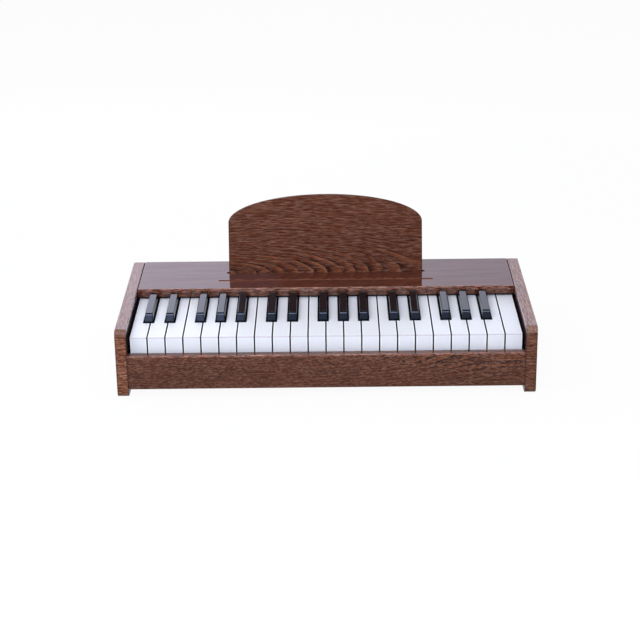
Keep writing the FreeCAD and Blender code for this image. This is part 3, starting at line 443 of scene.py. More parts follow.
def walnut_veneer(name, board, wood, edge=None):
    """Stained walnut veneer under clear gloss lacquer: brown with pale flecks and dark rings."""
    material, tree, own = new_material(name)
    grain = grain_place(tree, own, board.axes)
    colour, pores = veneer_colour(tree, grain, board, wood)
    if edge:
        colour = painted_edge_highlight(tree, own, colour, wood, *edge)
    return lacquered(material, colour, pores, grain, wood)


def grooved_veneer(name, board, wood):
    """The same veneer, with painted light in a paler colour on the walls inside the groove, and painted shade
    in a dark colour inside the slot.
    """
    material, tree, own = new_material(name)
    grain = grain_place(tree, own, board.axes)
    colour, pores = veneer_colour(tree, grain, board, wood)
    # Painted highlight along the panel's front edge and along the groove's rim
    colour = painted_edge_highlight(tree, own, colour, wood, PANEL_LOW.y, PANEL_HIGH.z - 2.0 * MM, 3.8 * MM)
    groove_rim_highlight = painted_edge_highlight(tree, own, colour, wood, GROOVE_BACK, PANEL_HIGH.z, 1.6 * MM)
    parts = add_node(tree, "SeparateXYZ", {0: own}).outputs
    aside = add_node(tree, "Math", {0: parts[0]}, operation="ABSOLUTE")
    beside, sunk, past_front, before_back, slot_shade = (
        add_node(tree, "MapRange", {"Value": value, "From Min": start, "From Max": end, "To Max": strength})
        for value, start, end, strength in (
            (aside, GROOVE_HALF, GROOVE_HALF - 1 * MM, 0.8),
            (parts[2], PANEL_HIGH.z - 0.2 * MM, PANEL_HIGH.z - 0.5 * MM, 0.9),
            (parts[1], CUTS_START, CUTS_START + 1 * MM, 1.0),
            (parts[1], CUTS_END, CUTS_END - 1 * MM, 1.0),
            (parts[1], SLOT_START, SLOT_START + 1 * MM, 1.0)))
    # Painted light on the walls inside the cuts, and painted shade inside the slot
    inner = add_node(tree, "Math", {0: past_front, 1: before_back}, operation="MULTIPLY")
    cut_walls = add_node(tree, "Math", {0: sunk, 1: inner}, operation="MULTIPLY")
    core = wood.core
    for mask, tint in ((streaks(tree, own, *CUT_WALL_FIBRE), wood.early), (slot_shade, wood.pore)):
        core = add_node(tree, "Mix", {SHARE: mask, BELOW: core, ABOVE: tint}, data_type="RGBA")
    for mask, tint in ((beside, groove_rim_highlight), (cut_walls, core)):
        colour = add_node(tree, "Mix", {SHARE: mask, BELOW: colour, ABOVE: tint}, data_type="RGBA")
    return lacquered(material, colour, pores, grain, wood)


def side_veneer(name, board, strip_board, inward, wood):
    """The same veneer on a side panel, with a strip of crosswise veneer on its front edge.

    The top's sheet runs over the rounded corner and meets the strip in a dark joint. The inner face, whose
    normal points inward along X, is a pale lavender-grey with streaks, a painted reflection of the backdrop,
    and painted shade darkens it down beside the keys."""
    material, tree, own = new_material(name)
    height = add_node(tree, "SeparateXYZ", {0: own}).outputs[2]
    turned = facing(tree)
    forward = add_node(tree, "MapRange", {"Value": turned[1], "From Min": -0.3, "From Max": -0.5},
                       interpolation_type=SMOOTH)
    below = add_node(tree, "MapRange",
                     {"Value": height, "From Min": JOINT_HEIGHT, "From Max": JOINT_HEIGHT - 0.2 * MM},
                     interpolation_type=SMOOTH)
    strip = add_node(tree, "Math", {0: forward, 1: below}, operation="MULTIPLY")
    grain = grain_place(tree, own, board.axes)
    colour, pores = veneer_colour(tree, grain, board, wood)
    strip_grain = grain_place(tree, own, strip_board.axes)
    strip_colour, strip_pores = veneer_colour(tree, strip_grain, strip_board, wood)
    pores = add_node(tree, "Mix", {SHARE: strip, LESS: pores, MORE: strip_pores})
    dark = mask_apart(tree, height, JOINT_HEIGHT, JOINT_WIDTH, JOINT_WIDTH / 3, 0.8)
    joint = add_node(tree, "Math", {0: dark, 1: forward}, operation="MULTIPLY")
    # Inner face: painted reflection, with painted shade darkening it down beside the keys
    inner = add_node(tree, "MapRange",
                     {"Value": turned[0], "From Min": inward * 0.8, "From Max": inward * 0.95})
    inner_streaks = streaks(tree, grain_place(tree, own, "YXZ"), *INNER_FACE_STREAKS)
    depth = add_node(tree, "MapRange",
                     {"Value": height, "From Min": PANEL_HIGH.z - 3 * MM, "From Max": WHITE_HIGH.z + 3 * MM,
                      "To Max": 0.92}, interpolation_type=SMOOTH)
    painted_inner_face = wood.inside
    for mask, tint in ((inner_streaks, wood.fleck_and_glint), (depth, wood.pore)):
        painted_inner_face = add_node(tree, "Mix", {SHARE: mask, BELOW: painted_inner_face, ABOVE: tint}, data_type="RGBA")
    for mask, tint in ((strip, strip_colour), (joint, wood.pore), (inner, painted_inner_face)):
        colour = add_node(tree, "Mix", {SHARE: mask, BELOW: colour, ABOVE: tint}, data_type="RGBA")
    return lacquered(material, colour, pores, grain, wood)


def moulded_plastic(name, colour, roughness, grit, strength, dust=0.06):
    """Injection-moulded plastic: a fine grit from the mould and a slightly uneven gloss."""
    material, tree, place = new_material(name)
    grain = add_node(tree, "TexNoise", {"Vector": place, "Scale": 1 / grit, "Detail": 2.0})
    cloud = add_node(tree, "TexNoise", {"Vector": place, "Scale": PLASTIC_BLOTCHES, "Detail": 3.0})
    pale = [min(1.0, channel * (1 + dust) + dust * 0.02) for channel in colour]
    tint = add_node(tree, "ValToRGB", {0: cloud}, stops=((0.3, colour), (0.75, pale)))
    rough = add_node(tree, "MapRange",
                     {"Value": cloud, "To Min": roughness * 0.85, "To Max": roughness * 1.2})
    bump = add_node(tree, "Bump", {"Strength": strength, "Distance": 0.05 * MM, "Height": grain})
    return end_material(material, {
        "Base Color": tint, "Roughness": rough, "IOR": 1.5, "Normal": bump,
    })


def white_key_plastic(keys):
    """Polished white styrene plastic, with a painted highlight along its edges and painted shade on the sides
    that the next key hides.
    """
    material, tree, place = new_material("polished white key plastic")
    parts = add_node(tree, "SeparateXYZ", {0: place}).outputs
    cloud = add_node(tree, "TexNoise", {"Vector": place, "Scale": WHITE_KEY_BLOTCHES, "Detail": 2.0})
    grey = [channel * 0.975 for channel in keys.white]
    tint = add_node(tree, "ValToRGB", {0: cloud}, stops=((0.35, keys.white), (0.75, grey)))

    # Edges, which get a painted highlight: each key has a lane one pitch wide, and lies in the middle of it
    lane_start = WHITE_LOW.x - KEY_GAP / 2
    half = (KEY_PITCH - KEY_GAP) / 2
    lane = add_node(tree, "MapRange", {"Value": parts[0], "From Min": lane_start,
                                       "From Max": lane_start + KEY_PITCH}, clamp=False)
    share = add_node(tree, "Math", {0: lane}, operation="FRACT")
    edge = mask_apart(tree, share, 0.5, *((half - width) / KEY_PITCH for width in WHITE_EDGE_HIGHLIGHT))

    # The line along the upper edge of the front
    near_front, near_top = (
        add_node(tree, "MapRange", {"Value": parts[axis], "From Min": edge_at + side * start,
                                    "From Max": edge_at + side * full, "To Max": strength},
                 interpolation_type=SMOOTH)
        for axis, edge_at, side, (start, full), strength in (
            (1, WHITE_LOW.y, 1, WHITE_LINE_DEPTH, 1.0), (2, WHITE_HIGH.z, -1, WHITE_LINE_DROP, 0.55)))
    line = add_node(tree, "Math", {0: near_front, 1: near_top}, operation="MULTIPLY")

    # Painted shade on the sides that face the next key
    flank = flank_mask(tree, facing(tree), 0.25, 0.6)
    colour = tint
    for mask, layer in ((edge, keys.edge), (line, keys.line), (flank, keys.side)):
        colour = add_node(tree, "Mix", {SHARE: mask, BELOW: colour, ABOVE: layer}, data_type="RGBA")
    grain = add_node(tree, "TexNoise", {"Vector": place, "Scale": 1 / (0.5 * MM), "Detail": 1.0})
    bump = add_node(tree, "Bump", {"Strength": 0.08, "Distance": 0.02 * MM, "Height": grain})
    return end_material(material, {
        "Base Color": colour, "Roughness": keys.white_roughness, "IOR": 1.5, "Specular IOR Level": 0.25,
        "Normal": bump,
    })


def black_key_plastic(keys):
    """Polished black styrene plastic: a cool, mirror-like gloss, duller on its sides and at its foot, with a
    painted highlight across its front near the top.
    """
    material, tree, place = new_material("polished black key plastic")
    cloud = add_node(tree, "TexNoise", {"Vector": place, "Scale": BLACK_KEY_BLOTCHES, "Detail": 3.0})
    pale = [channel * 1.3 for channel in keys.black]
    tint = add_node(tree, "ValToRGB", {0: cloud}, stops=((0.3, keys.black), (0.75, pale)))
    polish = add_node(tree, "MapRange", {"Value": cloud, "To Min": keys.black_roughness * 0.8,
                                         "To Max": keys.black_roughness * 1.3})
    turned = facing(tree)
    flank = flank_mask(tree, turned, 0.45, 0.75)
    forward = add_node(tree, "MapRange", {"Value": turned[1], "From Min": -0.3, "From Max": -0.6})
    height = add_node(tree, "SeparateXYZ", {0: place}).outputs[2]
    foot = add_node(tree, "MapRange", {"Value": height, "From Min": WHITE_HIGH.z + BLACK_FOOT[0],
                                       "From Max": WHITE_HIGH.z + BLACK_FOOT[1]})
    rim = add_node(tree, "MapRange", {"Value": height, "From Min": BLACK_TOP - BLACK_RIM[0],
                                      "From Max": BLACK_TOP - BLACK_RIM[1]})
    rim = add_node(tree, "Math", {0: rim, 1: forward}, operation="MULTIPLY")
    dull = add_node(tree, "Math", {0: flank, 1: foot}, operation="MAXIMUM")
    dull = add_node(tree, "Math", {0: dull, 1: rim}, operation="MAXIMUM")
    shine = add_node(tree, "MapRange", {"Value": dull, "To Min": 0.46, "To Max": 0.06})
    # Painted highlight: a pale line across the front near the top
    glint = mask_apart(tree, height, BLACK_TOP - GLINT_DROP, *BLACK_GLINT, 0.6, "LINEAR")
    glint = add_node(tree, "Math", {0: glint, 1: forward}, operation="MULTIPLY")
    tint = add_node(tree, "Mix", {SHARE: glint, BELOW: tint, ABOVE: keys.glint}, data_type="RGBA")
    grain = add_node(tree, "TexNoise", {"Vector": place, "Scale": 1 / (0.6 * MM), "Detail": 2.0})
    bump = add_node(tree, "Bump", {"Strength": 0.08, "Distance": 0.03 * MM, "Height": grain})
    return end_material(material, {
        "Base Color": tint, "Roughness": polish, "IOR": 1.5, "Specular IOR Level": shine,
        "Specular Tint": keys.shine, "Normal": bump,
    })


def wool_felt(name, colour, strip_colour):
    """Pressed wool felt: matt, with tangled fibres that catch the light. The strip above the keys, under the
    top, is painted dark as painted shade.
    """
    material, tree, place = new_material(name)
    fibres = add_node(tree, "TexNoise",
                      {"Vector": place, "Scale": 1 / (0.8 * MM), "Detail": 4.0, "Distortion": 1.5})
    height = add_node(tree, "SeparateXYZ", {0: place}).outputs[2]
    # Painted shade on the felt above the keys, in the gap under the top
    strip = add_node(tree, "MapRange",
                     {"Value": height, "From Min": WHITE_HIGH.z, "From Max": WHITE_HIGH.z + 0.2 * MM})
    depth = add_node(tree, "MapRange", {"Value": fibres, "From Min": 0.7, "From Max": 0.3, "To Max": 0.5})
    tint = colour
    for mask, layer in ((strip, strip_colour), (depth, srgb("0A0504"))):
        tint = add_node(tree, "Mix", {SHARE: mask, BELOW: tint, ABOVE: layer}, data_type="RGBA")
    bump = add_node(tree, "Bump", {"Strength": 0.6, "Distance": 0.3 * MM, "Height": fibres})
    return end_material(material, {"Base Color": tint, "Roughness": 0.95, "Sheen Weight": 0.3,
                                   "Normal": bump})


def drawn_steel(name, colour, roughness, length):
    """Drawn or rolled steel: metal with fine lines along its length and a duller film in places."""
    material, tree, place = new_material(name)
    lines = streaks(tree, place, length, 0.3 * MM, 0.3, 0.7)
    film = add_node(tree, "TexNoise", {"Vector": place, "Scale": STEEL_FILM, "Detail": 4.0})
    dull = [channel * 0.7 for channel in colour]
    tint = add_node(tree, "ValToRGB", {0: film}, stops=((0.45, colour), (0.75, dull)))
    rough = add_node(tree, "MapRange", {"Value": lines, "To Min": roughness * 0.8, "To Max": roughness * 1.3})
    return end_material(material, {"Base Color": tint, "Metallic": 1.0, "Roughness": rough})


def raw_wood(name, colour, dark, axes, length, width):
    """Unfinished wood or fibreboard: dry and matt, with its fibres along the piece."""
    material, tree, own = new_material(name)
    place = grain_place(tree, own, axes)
    fibre = streaks(tree, place, length, width, 0.35, 0.7, detail=4.0)
    cloud = streaks(tree, place, length * 5, width * 9, 0.3, 0.7, 0.35)
    tint = add_node(tree, "ValToRGB", {0: fibre}, stops=((0.0, colour), (1.0, dark)))
    tint = add_node(tree, "Mix", {SHARE: cloud, BELOW: tint, ABOVE: dark}, data_type="RGBA")
    bump = add_node(tree, "Bump", {"Strength": 0.3, "Distance": 0.1 * MM, "Height": fibre})
    return end_material(material, {"Base Color": tint, "Roughness": 0.8, "Normal": bump})


def circuit_board(name):
    """Glass-fibre board under green solder mask, with tracks that shine through, and black parts on it."""
    material, tree, place = new_material(name)
    tracks = add_node(tree, "TexBrick",
                      {"Vector": place, "Scale": 1 / (40 * MM), "Color1": srgb("0F5A33"),
                       "Color2": srgb("12683B"), "Mortar": srgb("1D8A50"), "Mortar Size": 0.012,
                       "Brick Width": 0.4, "Row Height": 0.11})
    height = add_node(tree, "SeparateXYZ", {0: place}).outputs[2]
    above, below = (
        add_node(tree, "MapRange", {"Value": height, "From Min": start, "From Max": end})
        for start, end in ((MAIN_BOARD_TOP + 0.1 * MM, MAIN_BOARD_TOP + 0.3 * MM),
                           (PARTS_TOP + 0.4 * MM, PARTS_TOP + 0.2 * MM)))
    parts = add_node(tree, "Math", {0: above, 1: below}, operation="MULTIPLY")
    tint = add_node(tree, "Mix", {SHARE: parts, BELOW: tracks, ABOVE: srgb("17181A")}, data_type="RGBA")
    bump = add_node(tree, "Bump", {"Strength": 0.2, "Distance": 0.05 * MM, "Height": tracks.outputs["Fac"]})
    return end_material(material, {"Base Color": tint, "Roughness": 0.35, "Normal": bump})


def speaker_finish(name):
    """Pressed paper cone in a painted basket, with a bare ferrite magnet on top."""
    material, tree, place = new_material(name)
    height = add_node(tree, "SeparateXYZ", {0: place}).outputs[2]
    fibres = add_node(tree, "TexNoise",
                      {"Vector": place, "Scale": 1 / (1.5 * MM), "Detail": 5.0, "Distortion": 1.0})
    paper = add_node(tree, "ValToRGB", {0: fibres}, stops=((0.35, srgb("26241F")), (0.65, srgb("3A3730"))))
    magnet = add_node(tree, "MapRange",
                      {"Value": height, "From Min": MAGNET_BASE, "From Max": MAGNET_BASE + 0.4 * MM})
    tint = add_node(tree, "Mix", {SHARE: magnet, BELOW: paper, ABOVE: srgb("6E7074")}, data_type="RGBA")
    bump = add_node(tree, "Bump", {"Strength": 0.4, "Distance": 0.1 * MM, "Height": fibres})
    return end_material(material, {"Base Color": tint, "Roughness": 0.6, "Normal": bump})


def finish_nodes(material, *names):
    """Gives the material to the named nodes of the frame."""
    for name in names:
        for slot in NODES[name].material_slots:
            slot.material = material


# New pieces

def put_in_scene(name, data):
    """Makes an object of the data, at the origin."""
    made = bpy.data.objects.new(name, data)
    bpy.context.scene.collection.objects.link(made)
    return made


def mesh_object(name, mesh, material):
    """Makes an object of a finished bmesh."""
    data = bpy.data.meshes.new(name)
    mesh.to_mesh(data)
    mesh.free()
    data.materials.append(material)
    return put_in_scene(name, data)


def new_piece(name, mesh, material, body):
    """A piece of the keyboard that rides on its body."""
    piece = mesh_object(name, mesh, material)
    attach(piece, body)


def knob_scale(sockets):
    """Raised marks in an open ring round the volume knob, from its lowest to its highest stop."""
    mesh = bmesh.new()
    sweep = math.radians(300.0)
    size = (sockets.tick_width, sockets.tick_height * 2, sockets.tick_length)
    middle = sockets.tick_reach + sockets.tick_length / 2
    for mark in range(sockets.tick_count):
        turn = sweep * (mark / (sockets.tick_count - 1) - 0.5)
        made = bmesh.ops.create_cube(mesh, size=1.0)["verts"]
        bmesh.ops.scale(mesh, verts=made, vec=size)
        bmesh.ops.translate(mesh, verts=made, vec=(0.0, 0.0, middle))
        bmesh.ops.rotate(mesh, verts=made, cent=(0.0, 0.0, 0.0), matrix=Matrix.Rotation(turn, 3, "Y"))
        bmesh.ops.translate(mesh, verts=made, vec=(KNOB_CENTRE.x, PLATE_FACE, KNOB_CENTRE.z))
    edges = [edge for edge in mesh.edges if min(v.co.y for v in edge.verts) > PLATE_FACE]
    bmesh.ops.bevel(mesh, geom=edges, offset=sockets.tick_width / 5, affect="EDGES",
                    segments=2, profile=0.5, material=-1)
    return mesh


def ring_nut(sockets):
    """Round nut with a chamfered rim that holds the headphone socket in the plate."""
    mesh = bmesh.new()
    place = Vector((HEADPHONE_X, PLATE_FACE, KNOB_CENTRE.z))
    bore, radius, height = sockets.nut_bore, sockets.nut_radius, sockets.nut_height
    chamfer = height / 4
    outline = ((bore, 0.0), (radius, 0.0), (radius, height - chamfer), (radius - chamfer, height),
               (bore, height))
    verts = [mesh.verts.new(place + Vector((out, up, 0.0))) for out, up in outline]
    face = mesh.faces.new(verts)
    bmesh.ops.spin(mesh, geom=[face], cent=place, axis=(0.0, 1.0, 0.0), angle=math.tau,
                   steps=48, use_merge=True, use_duplicate=False)
    bmesh.ops.recalc_face_normals(mesh, faces=mesh.faces)
    return mesh


# Operators

class KEYBOARD_OT_case(bpy.types.Operator):
    """Veneer and lacquer the side panels, top panel, front rail and back panel"""

    bl_idname = "keyboard.case"
    bl_label = "Wooden Case"
    bl_options = {"REGISTER", "UNDO"}

    def execute(self, context):
        wood = context.scene.keyboard_veneer
        top = SIDE_HIGH.z
        outer, inner = SIDE_LOW.x, SIDE_HIGH.x
        left = Board(axes="YXZ", centre=(0.10, -0.30, top - 0.03), stretch=9.0, zone=(THROUGH, 0.0, top),
                     rings=(0.3, 0.3), flecks=(1.0, 0.7), tone=(1.45, 1.65, 1.5))
        right = Board(axes="YXZ", centre=(-0.09, -outer - 0.05, top), stretch=4.0, zone=(ALONG, -0.12, 0.0),
                      rings=(0.6, 0.5), flecks=(0.8, 0.7), tone=(1.8, 2.5, 2.9))
        left_strip = Board(axes="XZY", centre=(-0.27, -0.10, -0.13), stretch=4.0, zone=(ACROSS, 0.0, top),
                           rings=(0.9, 0.6), flecks=(1.3, 1.15), length=0.6, ends=(outer, inner),
                           tone=(1.3, 1.22, 1.02))
        right_strip = Board(axes="XZY", centre=(0.24, 0.16, -0.13), stretch=4.0, zone=(ACROSS, top, 0.0),
                            rings=(0.9, 0.6), flecks=(1.3, 1.15), length=0.6, ends=(-inner, -outer),
                            tone=(0.88, 0.8, 0.72))
        panel = Board(axes="XYZ", centre=(0.19, 0.20, 0.05), stretch=9.0,
                      zone=(ACROSS, PANEL_LOW.y + 1 * MM, PANEL_LOW.y + 4 * MM), rings=(0.12, 0.12),
                      flecks=(1.5, 0.2), length=0.6, ends=(PANEL_LOW.x, PANEL_HIGH.x),
                      tone=(0.81, 0.67, 0.50))
        rail = Board(axes="XZY", centre=(-0.03, RAIL_HIGH.z + 2 * MM, RAIL_LOW.y), stretch=7.0,
                     zone=(ACROSS, RAIL_HIGH.z - 12 * MM, RAIL_HIGH.z - 30 * MM), rings=(1.0, 0.4),
                     flecks=(1.1, 0.9), limit=0.24, fade=(0.06, -0.06, 0.4), length=0.4,
                     tone=(0.78, 0.73, 0.67))
        back = Board(axes="XZY", centre=(-0.08, 0.03, 0.13), stretch=8.0, zone=(ACROSS, 0.0, 0.1),
                     rings=(0.7, 0.3), flecks=(1.0, 1.0))
        # Painted highlight along the rail's top front edge
        highlighted = (RAIL_LOW.y, RAIL_HIGH.z, 3 * MM)
        veneers = {
            "left_side_panel": side_veneer("walnut veneer, left side", left, left_strip, 1.0, wood),
            "right_side_panel": side_veneer("walnut veneer, right side", right, right_strip, -1.0, wood),
            "top_panel": grooved_veneer("walnut veneer, top", panel, wood),
            "front_rail": walnut_veneer("walnut veneer, rail", rail, wood, edge=highlighted),
            "back_panel": walnut_veneer("walnut veneer, back", back, wood),
        }
        for node, veneer in veneers.items():
            finish_nodes(veneer, node)
        return {"FINISHED"}


class KEYBOARD_OT_stand(bpy.types.Operator):
    """Veneer and lacquer the music stand, with its bold figure along the lower edge"""

    bl_idname = "keyboard.stand"
    bl_label = "Music Stand"
    bl_options = {"REGISTER", "UNDO"}

    def execute(self, context):
        foot = PANEL_HIGH.z
        board = Board(axes="XZY", centre=(STAND_LOW.x - 14 * MM, foot + 3 * MM, STAND_LOW.y), stretch=5.0,
                      zone=(ACROSS, foot + 14 * MM, foot + 44 * MM), rings=(1.0, 0.42), flecks=(0.7, 0.85),
                      limit=0.27, fade=(0.0, 0.08, 0.75), ends=(STAND_LOW.x, STAND_HIGH.x),
                      tone=(0.96, 0.96, 0.95))
        veneer = walnut_veneer("walnut veneer, stand", board, context.scene.keyboard_veneer)
        finish_nodes(veneer, "music_stand")
        return {"FINISHED"}


class KEYBOARD_OT_keys(bpy.types.Operator):
    """Finish the white and the black keys"""

    bl_idname = "keyboard.keys"
    bl_label = "Keys"
    bl_options = {"REGISTER", "UNDO"}

    def execute(self, context):
        keys = context.scene.keyboard_keys
        finish_nodes(white_key_plastic(keys), *WHITE_KEYS)
        finish_nodes(black_key_plastic(keys), *BLACK_KEYS)
        return {"FINISHED"}


class KEYBOARD_OT_key_bed(bpy.types.Operator):
    """Finish the key frame, felts, pivot rod, spring comb and contacts"""

    bl_idname = "keyboard.key_bed"
    bl_label = "Key Bed"
    bl_options = {"REGISTER", "UNDO"}

    def execute(self, context):
        plastic = moulded_plastic("moulded frame plastic", srgb("1C1C1F"), 0.55, 0.8 * MM, 0.3)
        finish_nodes(plastic, "key_frame")
        # The second colour is painted shade on the felt above the keys
        finish_nodes(wool_felt("red wool felt", srgb("8A1A1C"), srgb("1E1210")), "key_felts")
        steel = drawn_steel("zinc-plated steel", srgb("B9BABD"), 0.3, 8 * MM)
        finish_nodes(steel, "key_pivot_rod", "key_spring_comb")
        rubber = moulded_plastic("silicone rubber", srgb("8E8F8C"), 0.7, 0.5 * MM, 0.2)
        finish_nodes(rubber, "rubber_contact_strip")
        return {"FINISHED"}


class KEYBOARD_OT_electronics(bpy.types.Operator):
    """Finish the boards, wiring and speakers"""

    bl_idname = "keyboard.electronics"
    bl_label = "Electronics"
    bl_options = {"REGISTER", "UNDO"}

    def execute(self, context):
        finish_nodes(circuit_board("green circuit board"), "main_board", "contact_board")
        jacket = moulded_plastic("grey wire jacket", srgb("6F7276"), 0.5, 0.9 * MM, 0.2, dust=0.3)
        finish_nodes(jacket, "wiring")
        finish_nodes(speaker_finish("black speaker"), "left_speaker", "right_speaker")
        return {"FINISHED"}


class KEYBOARD_OT_sockets(bpy.types.Operator):
    """Finish the socket plate, switch and knob, and make the knob's scale and the socket's nut"""

    bl_idname = "keyboard.sockets"
    bl_label = "Sockets and Controls"
    bl_options = {"REGISTER", "UNDO"}

    def execute(self, context):
        sockets = context.scene.keyboard_sockets
        plate = moulded_plastic("black moulded plate", srgb("1B1B1D"), 0.5, 0.7 * MM, 0.4)
        finish_nodes(plate, "jack_plate")
        controls = moulded_plastic("black control plastic", srgb("121214"), 0.38, 0.5 * MM, 0.2)
        finish_nodes(controls, "power_switch", "volume_knob")
        pale = moulded_plastic("pale printed marks", srgb("C9CACC"), 0.5, 0.4 * MM, 0.1)
        new_piece("volume_scale", knob_scale(sockets), pale, "case")
        nickel = drawn_steel("nickel-plated brass", srgb("C8C4BB"), 0.22, 1 * MM)
        new_piece("socket_ring_nut", ring_nut(sockets), nickel, "case")
        return {"FINISHED"}


class KEYBOARD_OT_carcass(bpy.types.Operator):
    """Finish the bottom panel, inner battens and screws"""

    bl_idname = "keyboard.carcass"
    bl_label = "Bottom, Battens and Screws"
    bl_options = {"REGISTER", "UNDO"}

    def execute(self, context):
        fibreboard = raw_wood("raw fibreboard", srgb("9A7654"), srgb("7C5B3F"), "XYZ", 2.5 * MM, 1.2 * MM)
        finish_nodes(fibreboard, "bottom_panel")
        beech = raw_wood("planed beech", srgb("C79A6F"), srgb("A9794F"), "YXZ", 14 * MM, 1.0 * MM)
        finish_nodes(beech, "case_battens", "stand_socket_rail")
        finish_nodes(drawn_steel("black zinc screws", srgb("3A3A3D"), 0.4, 2 * MM), "case_screws")
        return {"FINISHED"}


# Studio

def flat_sheet(name, width, depth, matrix, material):
    """A flat sheet of the stage."""
    mesh = bmesh.new()
    bmesh.ops.create_grid(mesh, x_segments=1, y_segments=1, size=0.5)
    bmesh.ops.scale(mesh, verts=mesh.verts, vec=(width, depth, 1.0))
    bmesh.ops.transform(mesh, verts=mesh.verts, matrix=matrix)
    sheet = mesh_object(name, mesh, material)
    return sheet


def seen_straight(tree, rays):
    """1 for what the camera sees, also through clear pieces."""
    return add_node(tree, "Math", {0: rays["Is Camera Ray"], 1: rays["Is Transmission Ray"]},
                    operation="MAXIMUM")


def floor_material(studio):
    """Matt pale paper. The camera sees it lifted towards white, with the object's shadow kept faint."""
    material, tree, place = new_material("pale floor")
    paper = add_node(tree, "TexNoise", {"Vector": place, "Scale": FLOOR_BLOTCHES, "Detail": 3.0})
    grey = [channel * 0.97 for channel in studio.floor]
    tint = add_node(tree, "ValToRGB", {0: paper}, stops=((0.3, studio.floor), (0.7, grey)))
    lit = add_node(tree, "BsdfDiffuse", {"Color": tint})
    rays = add_node(tree, "LightPath").outputs
    shown = add_node(tree, "MapRange",
                     {"Value": rays["Is Glossy Ray"], "To Min": 1.0, "To Max": studio.floor_gloss})
    white = add_node(tree, "Emission", {"Color": WHITE, "Strength": shown})
    share = add_node(tree, "Math",
                     {0: seen_straight(tree, rays), 1: studio.floor_white, 2: rays["Is Glossy Ray"]},
                     operation="MULTIPLY_ADD")
    return end_material(material, {0: share, 1: lit, 2: white}, "MixShader")


def card_material(studio):
    """The bright card behind the case, brighter at the left, that the lacquer reflects."""
    material, tree, place = new_material("back card")
    across = add_node(tree, "SeparateXYZ", {0: place}).outputs[0]
    strength = add_node(tree, "MapRange", {"Value": across, "From Min": -0.42, "From Max": 0.42,
                                           "To Min": studio.card_left, "To Max": studio.card_right})
    return end_material(material, {"Color": studio.card_tint, "Strength": strength}, "Emission")


def studio_world(studio):
    """Even fill light, mostly from the bright backdrop. Gloss sees it dim in front and bright overhead."""
    world = bpy.data.worlds.new("soft studio")
    world.use_nodes = True
    tree = world.node_tree
    tree.nodes.clear()
    rays = add_node(tree, "LightPath").outputs
    parts = add_node(tree, "SeparateXYZ", {0: add_node(tree, "TexCoord").outputs["Generated"]}).outputs
    room, overhead, fill = (
        add_node(tree, "MapRange", {"Value": value, "From Min": start, "From Max": end,
                                    "To Min": first, "To Max": last}, interpolation_type=SMOOTH)
        for value, start, end, first, last in (
            (parts[1], -0.2, 0.9, studio.front_gloss, 1.0),
            (parts[2], 0.8, 0.92, 0.0, studio.top_gloss),
            (parts[1], -0.25, 0.25, studio.fill_front, studio.fill_back)))
    gloss = add_node(tree, "Math", {0: room, 1: overhead}, operation="MAXIMUM")
    lit = add_node(tree, "Mix", {SHARE: rays["Is Glossy Ray"], LESS: fill, MORE: gloss})
    strength = add_node(tree, "Mix", {SHARE: seen_straight(tree, rays), LESS: lit, MORE: 1.0})
    sky = add_node(tree, "Background", {"Color": WHITE, "Strength": strength})
    add_node(tree, "OutputWorld", {"Surface": sky})
    bpy.context.scene.world = world


def add_lamp(name, place, size, power, tint):
    """A square lamp that points at the middle of the case."""
    data = bpy.data.lights.new(name, "AREA")
    data.shape = "SQUARE"
    data.size = size
    data.energy = power
    data.color = tint
    lamp = put_in_scene(name, data)
    lamp.location = place
    lamp.rotation_euler = (LAMP_TARGET - lamp.location).to_track_quat("-Z", "Y").to_euler()


def add_camera():
    """The camera at the photograph's viewing angle."""
    data = bpy.data.cameras.new("camera")
    data.sensor_width = CAMERA_SENSOR
    data.lens = CAMERA_LENS
    camera = put_in_scene("camera", data)
    look = (Matrix.Rotation(-CAMERA_YAW, 4, "Z") @ Matrix.Rotation(math.pi / 2 - CAMERA_DOWN, 4, "X")
            @ Matrix.Rotation(-CAMERA_ROLL, 4, "Z"))
    camera.matrix_world = Matrix.Translation(CAMERA_PLACE) @ look
    bpy.context.scene.camera = camera


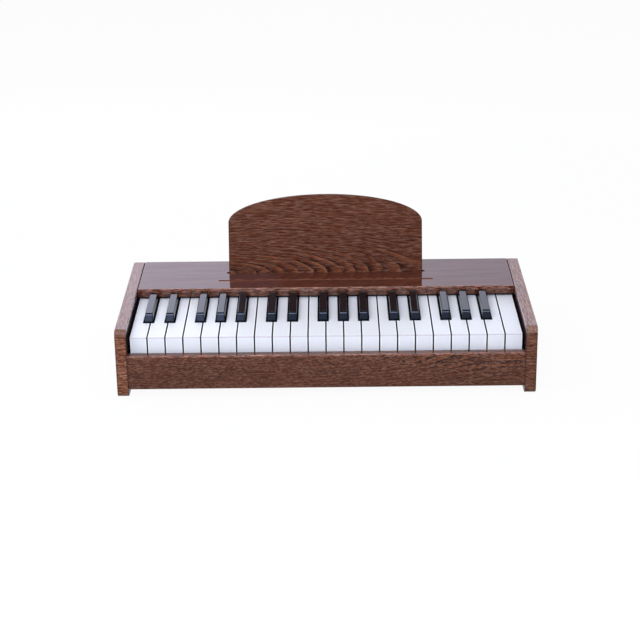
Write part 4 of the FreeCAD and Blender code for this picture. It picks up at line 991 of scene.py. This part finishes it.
class KEYBOARD_OT_studio(bpy.types.Operator):
    """Set up the floor, back card, lamps, world and camera"""

    bl_idname = "keyboard.studio"
    bl_label = "Studio"
    bl_options = {"REGISTER", "UNDO"}

    def execute(self, context):
        studio = context.scene.keyboard_studio
        flat_sheet("floor", FLOOR_SIZE, FLOOR_SIZE, Matrix.Translation((0.0, 1.0, 0.0)),
                   floor_material(studio))
        upright = Matrix.Translation(CARD_PLACE) @ Matrix.Rotation(math.pi / 2, 4, "X")
        card = flat_sheet("back_card", CARD_WIDTH, CARD_HEIGHT, upright, card_material(studio))
        card.visible_camera = False
        window_x = -0.21 - studio.window_size / 2
        for name, place, size, power, tint in (
                ("key_lamp", (-0.98, -0.60, 1.58), studio.key_size, studio.key_power, studio.key_tint),
                ("front_lamp", (0.10, -1.60, 1.78), studio.front_size, studio.front_power, studio.sky_tint),
                ("soft_lamp", (0.0, -2.15, 1.30), studio.soft_size, studio.soft_power, WHITE),
                ("window_lamp", (window_x, -1.30, 1.43), studio.window_size, studio.window_power,
                 studio.sky_tint)):
            add_lamp(name, place, size, power, tint)
        studio_world(studio)
        add_camera()
        context.scene.view_settings.view_transform = "Standard"
        return {"FINISHED"}


class KEYBOARD_PT_panel(bpy.types.Panel):
    """Lists the steps that finish the keyboard, with their settings"""

    bl_idname = "KEYBOARD_PT_panel"
    bl_label = "Compact Wooden Keyboard"
    bl_space_type = "VIEW_3D"
    bl_region_type = "UI"
    bl_category = "Keyboard"

    def draw(self, context):
        layout = self.layout
        for step in STEPS:
            layout.operator(step.bl_idname)
        for name in SETTINGS:
            box = layout.box()
            group = getattr(context.scene, name)
            for key in group.bl_rna.properties.keys():
                if key not in ("rna_type", "name"):
                    box.prop(group, key)


STEPS = (KEYBOARD_OT_studio, KEYBOARD_OT_case, KEYBOARD_OT_stand, KEYBOARD_OT_keys, KEYBOARD_OT_key_bed,
         KEYBOARD_OT_electronics, KEYBOARD_OT_sockets, KEYBOARD_OT_carcass)
SETTINGS = {
    "keyboard_veneer": KEYBOARD_PG_veneer,
    "keyboard_keys": KEYBOARD_PG_keys,
    "keyboard_sockets": KEYBOARD_PG_sockets,
    "keyboard_studio": KEYBOARD_PG_studio,
}


def register():
    for part in (*SETTINGS.values(), *STEPS, KEYBOARD_PT_panel):
        bpy.utils.register_class(part)
    for name, group in SETTINGS.items():
        setattr(bpy.types.Scene, name, bpy.props.PointerProperty(type=group))


def unregister():
    for name in SETTINGS:
        delattr(bpy.types.Scene, name)
    for part in (KEYBOARD_PT_panel, *reversed(STEPS), *SETTINGS.values()):
        bpy.utils.unregister_class(part)


def main():
    register()
    bpy.ops.keyboard.studio()
    bpy.ops.keyboard.case()
    bpy.ops.keyboard.stand()
    bpy.ops.keyboard.keys()
    bpy.ops.keyboard.key_bed()
    bpy.ops.keyboard.electronics()
    bpy.ops.keyboard.sockets()
    bpy.ops.keyboard.carcass()


if __name__ == "__main__":
    main()
